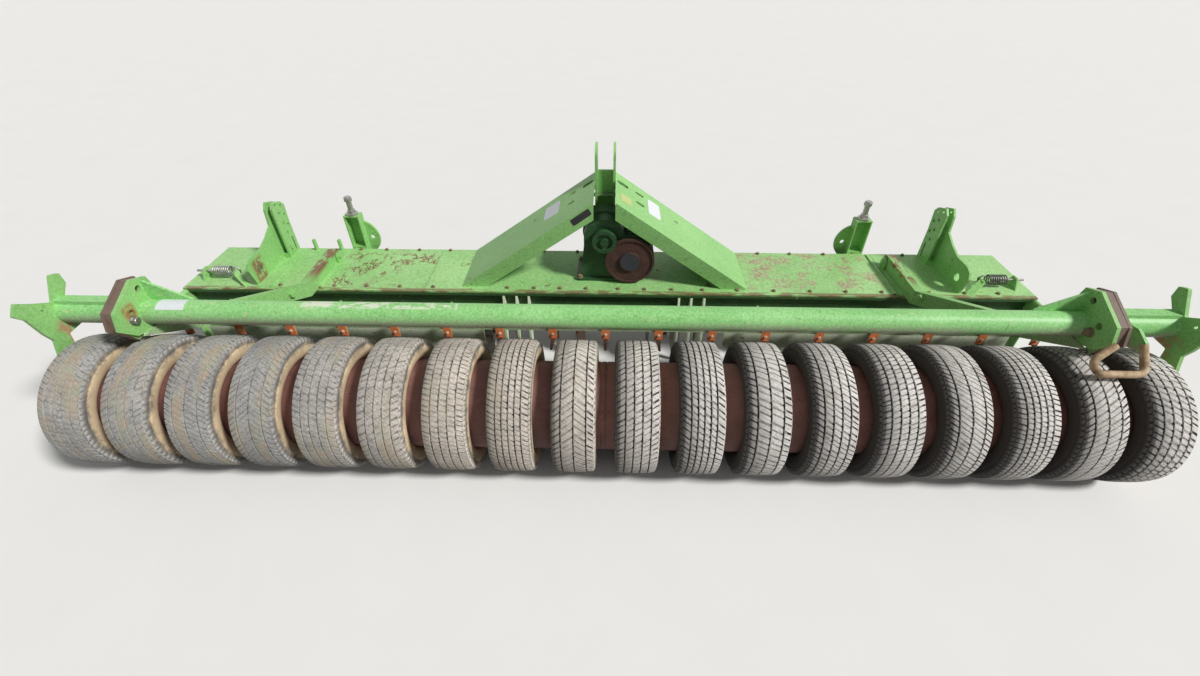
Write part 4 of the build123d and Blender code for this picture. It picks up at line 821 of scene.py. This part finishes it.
NODE_FINISHES = {
    "trough_cover": cover_green, "gear_trough": trough_green_painted_shade, "arm_lugs": frame_green,
    "top_link_plates": leg_green, "lower_link_brackets": frame_green, "gearbox": casting_green,
    "gear_cover": gear_cover_rust_and_shade, "drive_shaft": steel, "front_pegs": frame_green,
    "rear_ribs": board_green_painted_light, "board_hangers": frame_green, "carrier_tube": tube_green,
    "scraper_bar": tube_green, "scraper_struts": tube_green, "scrapers": orange,
    "hitch_loop": sandy, "tyre_roller": drum_finish,
}
PAIR_FINISHES = {
    "headstock_leg": leg_green, "quadrant": quadrant_green, "front_bracket": frame_green,
    "spindle": spring_steel, "levelling_board": board_green_painted_light, "side_shield": frame_green,
    "shield_spring": spring_steel, "spring_bracket": frame_green, "tube_flange": flange_green,
    "stub_tube": tube_green, "end_plate": end_green, "bearing": casting_green, "arm": arm_green,
}
for pair, finish in PAIR_FINISHES.items():
    for side in ("left", "right"):
        NODE_FINISHES[f"{pair}_{side}"] = finish
for name, node in nodes.items():  # the rotors are those without a finish of their own
    node.data.materials.clear()
    node.data.materials.append(NODE_FINISHES.get(name, tine_steel))

# the packer's drum and tyres

BEVEL = 0.004
SEAM_RADIUS = 0.1835
drum_end = [(-AXLE_END, 0), (-AXLE_END, AXLE_RADIUS - BEVEL), (-AXLE_END + BEVEL, AXLE_RADIUS),
            (-DRUM_HALF, AXLE_RADIUS), (-DRUM_HALF, DRUM_RADIUS - BEVEL),
            (-DRUM_HALF + BEVEL, DRUM_RADIUS)]
seams = [point for x in (-0.022, 0.004)
         for point in ((x - BEVEL, DRUM_RADIUS), (x, SEAM_RADIUS), (x + BEVEL, DRUM_RADIUS))]
drum = lathe("drum", drum_end + seams + [(-x, r) for x, r in drum_end[::-1]], 96, drum_finish,
             "roller")
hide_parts("tyre_roller")

# ribs, pitches round the tyre, slant in radians a metre, chevron, groove depth in metres
TREADS = (
    (5, 74, 1.9, False, 0.0035), (5, 66, -2.2, False, 0.003), (4, 78, 2.2, False, 0.005),
    (4, 70, 3.0, True, 0.005), (5, 72, 1.4, False, 0.0035), (5, 60, -1.8, False, 0.0045),
    (5, 84, 1.0, False, 0.004), (6, 80, 1.7, False, 0.005), (4, 62, 2.6, True, 0.0065),
    (5, 70, -2.1, False, 0.0045), (6, 68, 2.6, False, 0.0055), (4, 64, 1.6, False, 0.006),
    (5, 76, 2.3, False, 0.0055), (5, 82, -1.3, False, 0.006), (4, 86, 2.5, False, 0.006),
    (6, 90, 0.9, False, 0.005), (4, 72, -2.4, False, 0.006), (5, 66, 2.0, False, 0.006),
)
for index, design in enumerate(TREADS):
    tyre(index, design, rubber)

# small pieces

COVER_BOLTS = {
    "rear": (0.17, (-1.81, -1.62, -1.35, -1.19, -1.025, -0.86, -0.494, -0.362, -0.235, -0.107,
                    0.05, 0.178, 0.31, 0.46, 0.63, 0.805, 0.98, 1.152, 1.325, 1.55, 1.72, 1.88)),
    "front": (0.528, (-1.86, -1.6, -1.35, -1.21, -1.03, -0.86, -0.7, -0.35, -0.17, 0.01, 0.19,
                      0.37, 0.63, 0.8, 0.97, 1.15, 1.57, 1.86)),
}
for edge, (y, row) in COVER_BOLTS.items():
    bolts(f"cover_bolts_{edge}", [(x, y, COVER_TOP) for x in row], (0, 0, 1), 0.015, 0.009,
          bolt_rust, "harrow")
bolts("gearbox_bolts", [(-0.14, 0.253, 0.515), (-0.14, 0.43, 0.515)], (0, 0, 1), 0.022, 0.014,
      bolt_rust, "harrow")
scrapers = (np.arange(TYRES - 1) - (TYRES - 2) / 2) * TYRE_PITCH - 0.008
bolts("scraper_bolts", [(x, -0.043, 0.383) for x in scrapers], (0, -1, 0), 0.014, 0.008,
      pale_bolt, "packer_frame", washer=1.25)
bolts("flange_bolt_left", [(-1.905, -0.341, 0.662)], (1, 0, 0), 0.03, 0.022, steel,
      "packer_frame")
bolts("flange_bolt_right", [(1.905, -0.314, 0.647)], (-1, 0, 0), 0.03, 0.022, bolt_rust,
      "packer_frame")
bolts("arm_bolt_left", [(-1.4623, 0.0058, 0.5609)], (0.87, -0.49, 0), 0.028, 0.016, frame_green,
      "packer_frame", washer=1.4)
bolts("arm_bolt_right", [(1.4383, 0.0483, 0.5586)], (-0.87, -0.49, 0), 0.028, 0.016,
      frame_green, "packer_frame", washer=1.4)

leg_label("leg_label_left", -0.32, -0.245, 0.36, 0.5, white_film)
leg_label("leg_label_right", 0.19, 0.25, 0.34, 0.5, white_film)
leg_label("leg_patch_right", 0.055, 0.105, 0.29, 0.37, yellow_film)
# painted shade: a black plate on the left leg's rear face stands in for the shade of a slot there
flat_patch("leg_slot_shade_left", (-0.1588, 0.2119, 0.8157), (0.083, 0.0056, 0.0577),
           (-0.0181, 0.0, 0.0276), 0.0012, slot_shade_film, "harrow")
tube_label("tube_label", -1.84, -1.725, 66, 136, white_film, "packer_frame")

EYEBOLT_POINTS = (1.94, 2.0, 2.042)
EYEBOLT_NUT = 2.004
# the right-hand spring takes the copy of spring steel with painted shade
for side, suffix, finish in ((-1, "left", spring_steel), (1, "right", spring_steel_painted_shade)):
    spring = coil_spring(f"coil_spring_{suffix}", side, finish)
    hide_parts(f"shield_spring_{suffix}")
    rod = [(HARROW_X + side * x, SPRING_Y, SPRING_Z) for x in EYEBOLT_POINTS]
    tube_along(f"eyebolt_{suffix}", rod, 0.006, spring_steel, "harrow")
    bolts(f"eyebolt_nut_{suffix}", [(HARROW_X + side * EYEBOLT_NUT, SPRING_Y, SPRING_Z)],
          (side, 0, 0), 0.018, 0.009, spring_steel, "harrow", washer=1.2)

# camera, light and floor

CAMERA_PLACE = (0.0154, -2.012, 1.9516)
CAMERA_YAW, CAMERA_DOWN, CAMERA_ROLL = -0.0251, 0.6784, -0.0018
LENS, SENSOR = 16.008, 36.0
KEY_TOWARD = (0.66, -0.31, 0.68)
KEY_STRENGTH = 3.3
KEY_COLOUR = (1.0, 0.985, 0.95)
KEY_ANGLE = math.radians(9)
KEY_DISTANCE = 8
SURROUND = 0.2
FLOOR_RADIUS = 40
FLOOR_POINTS = 64
FLOOR_Z = -0.0005


def put_up(thing, right, up, back, where):
    """Links a camera or lamp, its own axes along three unit vectors."""
    bpy.context.scene.collection.objects.link(thing)
    turn = np.eye(4)
    turn[:3] = np.stack([right, up, back, where], axis=1)
    thing.matrix_world = Matrix(turn.tolist())


def camera():
    """The camera at the place and turn found from the photograph's straight lines; angles in
    radians."""
    yaw, down, roll = CAMERA_YAW, CAMERA_DOWN, CAMERA_ROLL
    ahead = np.array([math.sin(yaw) * math.cos(down), math.cos(yaw) * math.cos(down),
                      -math.sin(down)])
    right = np.array([math.cos(yaw), -math.sin(yaw), 0.0])
    up = np.cross(right, ahead)
    right, up = (right * math.cos(roll) + up * math.sin(roll),
                 up * math.cos(roll) - right * math.sin(roll))
    data = bpy.data.cameras.new("camera")
    data.lens = LENS
    data.sensor_width = SENSOR
    data.clip_start = 0.05
    seen = bpy.data.objects.new("camera", data)
    put_up(seen, right, up, -ahead, CAMERA_PLACE)
    bpy.context.scene.camera = seen


def key_lamp():
    """The one lamp: a sun, broad enough for soft edges of the shadows."""
    data = bpy.data.lights.new("key", "SUN")
    data.angle = KEY_ANGLE
    data.energy = KEY_STRENGTH
    data.color = KEY_COLOUR
    back = np.asarray(KEY_TOWARD, dtype=float)
    back /= np.linalg.norm(back)
    put_up(bpy.data.objects.new("key", data), *square_to(back), back, back * KEY_DISTANCE)


def floor():
    """A wide flat disc under the machine."""
    t = np.linspace(0, 2 * np.pi, FLOOR_POINTS, endpoint=False)
    points = np.stack([FLOOR_RADIUS * np.cos(t), FLOOR_RADIUS * np.sin(t),
                       np.full(FLOOR_POINTS, FLOOR_Z)], axis=1)
    mesh = bpy.data.meshes.new("floor")
    mesh.from_pydata(points.tolist(), [], [list(range(FLOOR_POINTS))])
    mesh.materials.append(pale_floor("pale_floor"))
    disc = bpy.data.objects.new("floor", mesh)
    bpy.context.scene.collection.objects.link(disc)


def world():
    """Even surroundings: white where the camera or a glossy surface sees them, and weaker in
    the light that they give."""
    made = bpy.data.worlds.new("studio")
    bpy.context.scene.world = made
    made.use_nodes = True
    tree = made.node_tree
    back = next(n for n in tree.nodes if n.type == "BACKGROUND")
    back.inputs["Color"].default_value = (1.0, 1.0, 1.0, 1.0)
    paths = tree.nodes.new("ShaderNodeLightPath")
    seen = tree.nodes.new("ShaderNodeMath")
    seen.operation = "MAXIMUM"
    tree.links.new(paths.outputs["Is Camera Ray"], seen.inputs[0])
    tree.links.new(paths.outputs["Is Glossy Ray"], seen.inputs[1])
    level = tree.nodes.new("ShaderNodeMapRange")
    level.inputs["To Min"].default_value = SURROUND
    level.inputs["To Max"].default_value = 1.0
    tree.links.new(seen.outputs[0], level.inputs["Value"])
    tree.links.new(level.outputs[0], back.inputs["Strength"])


camera()
floor()
world()
key_lamp()
bpy.context.scene.view_settings.view_transform = "Standard"
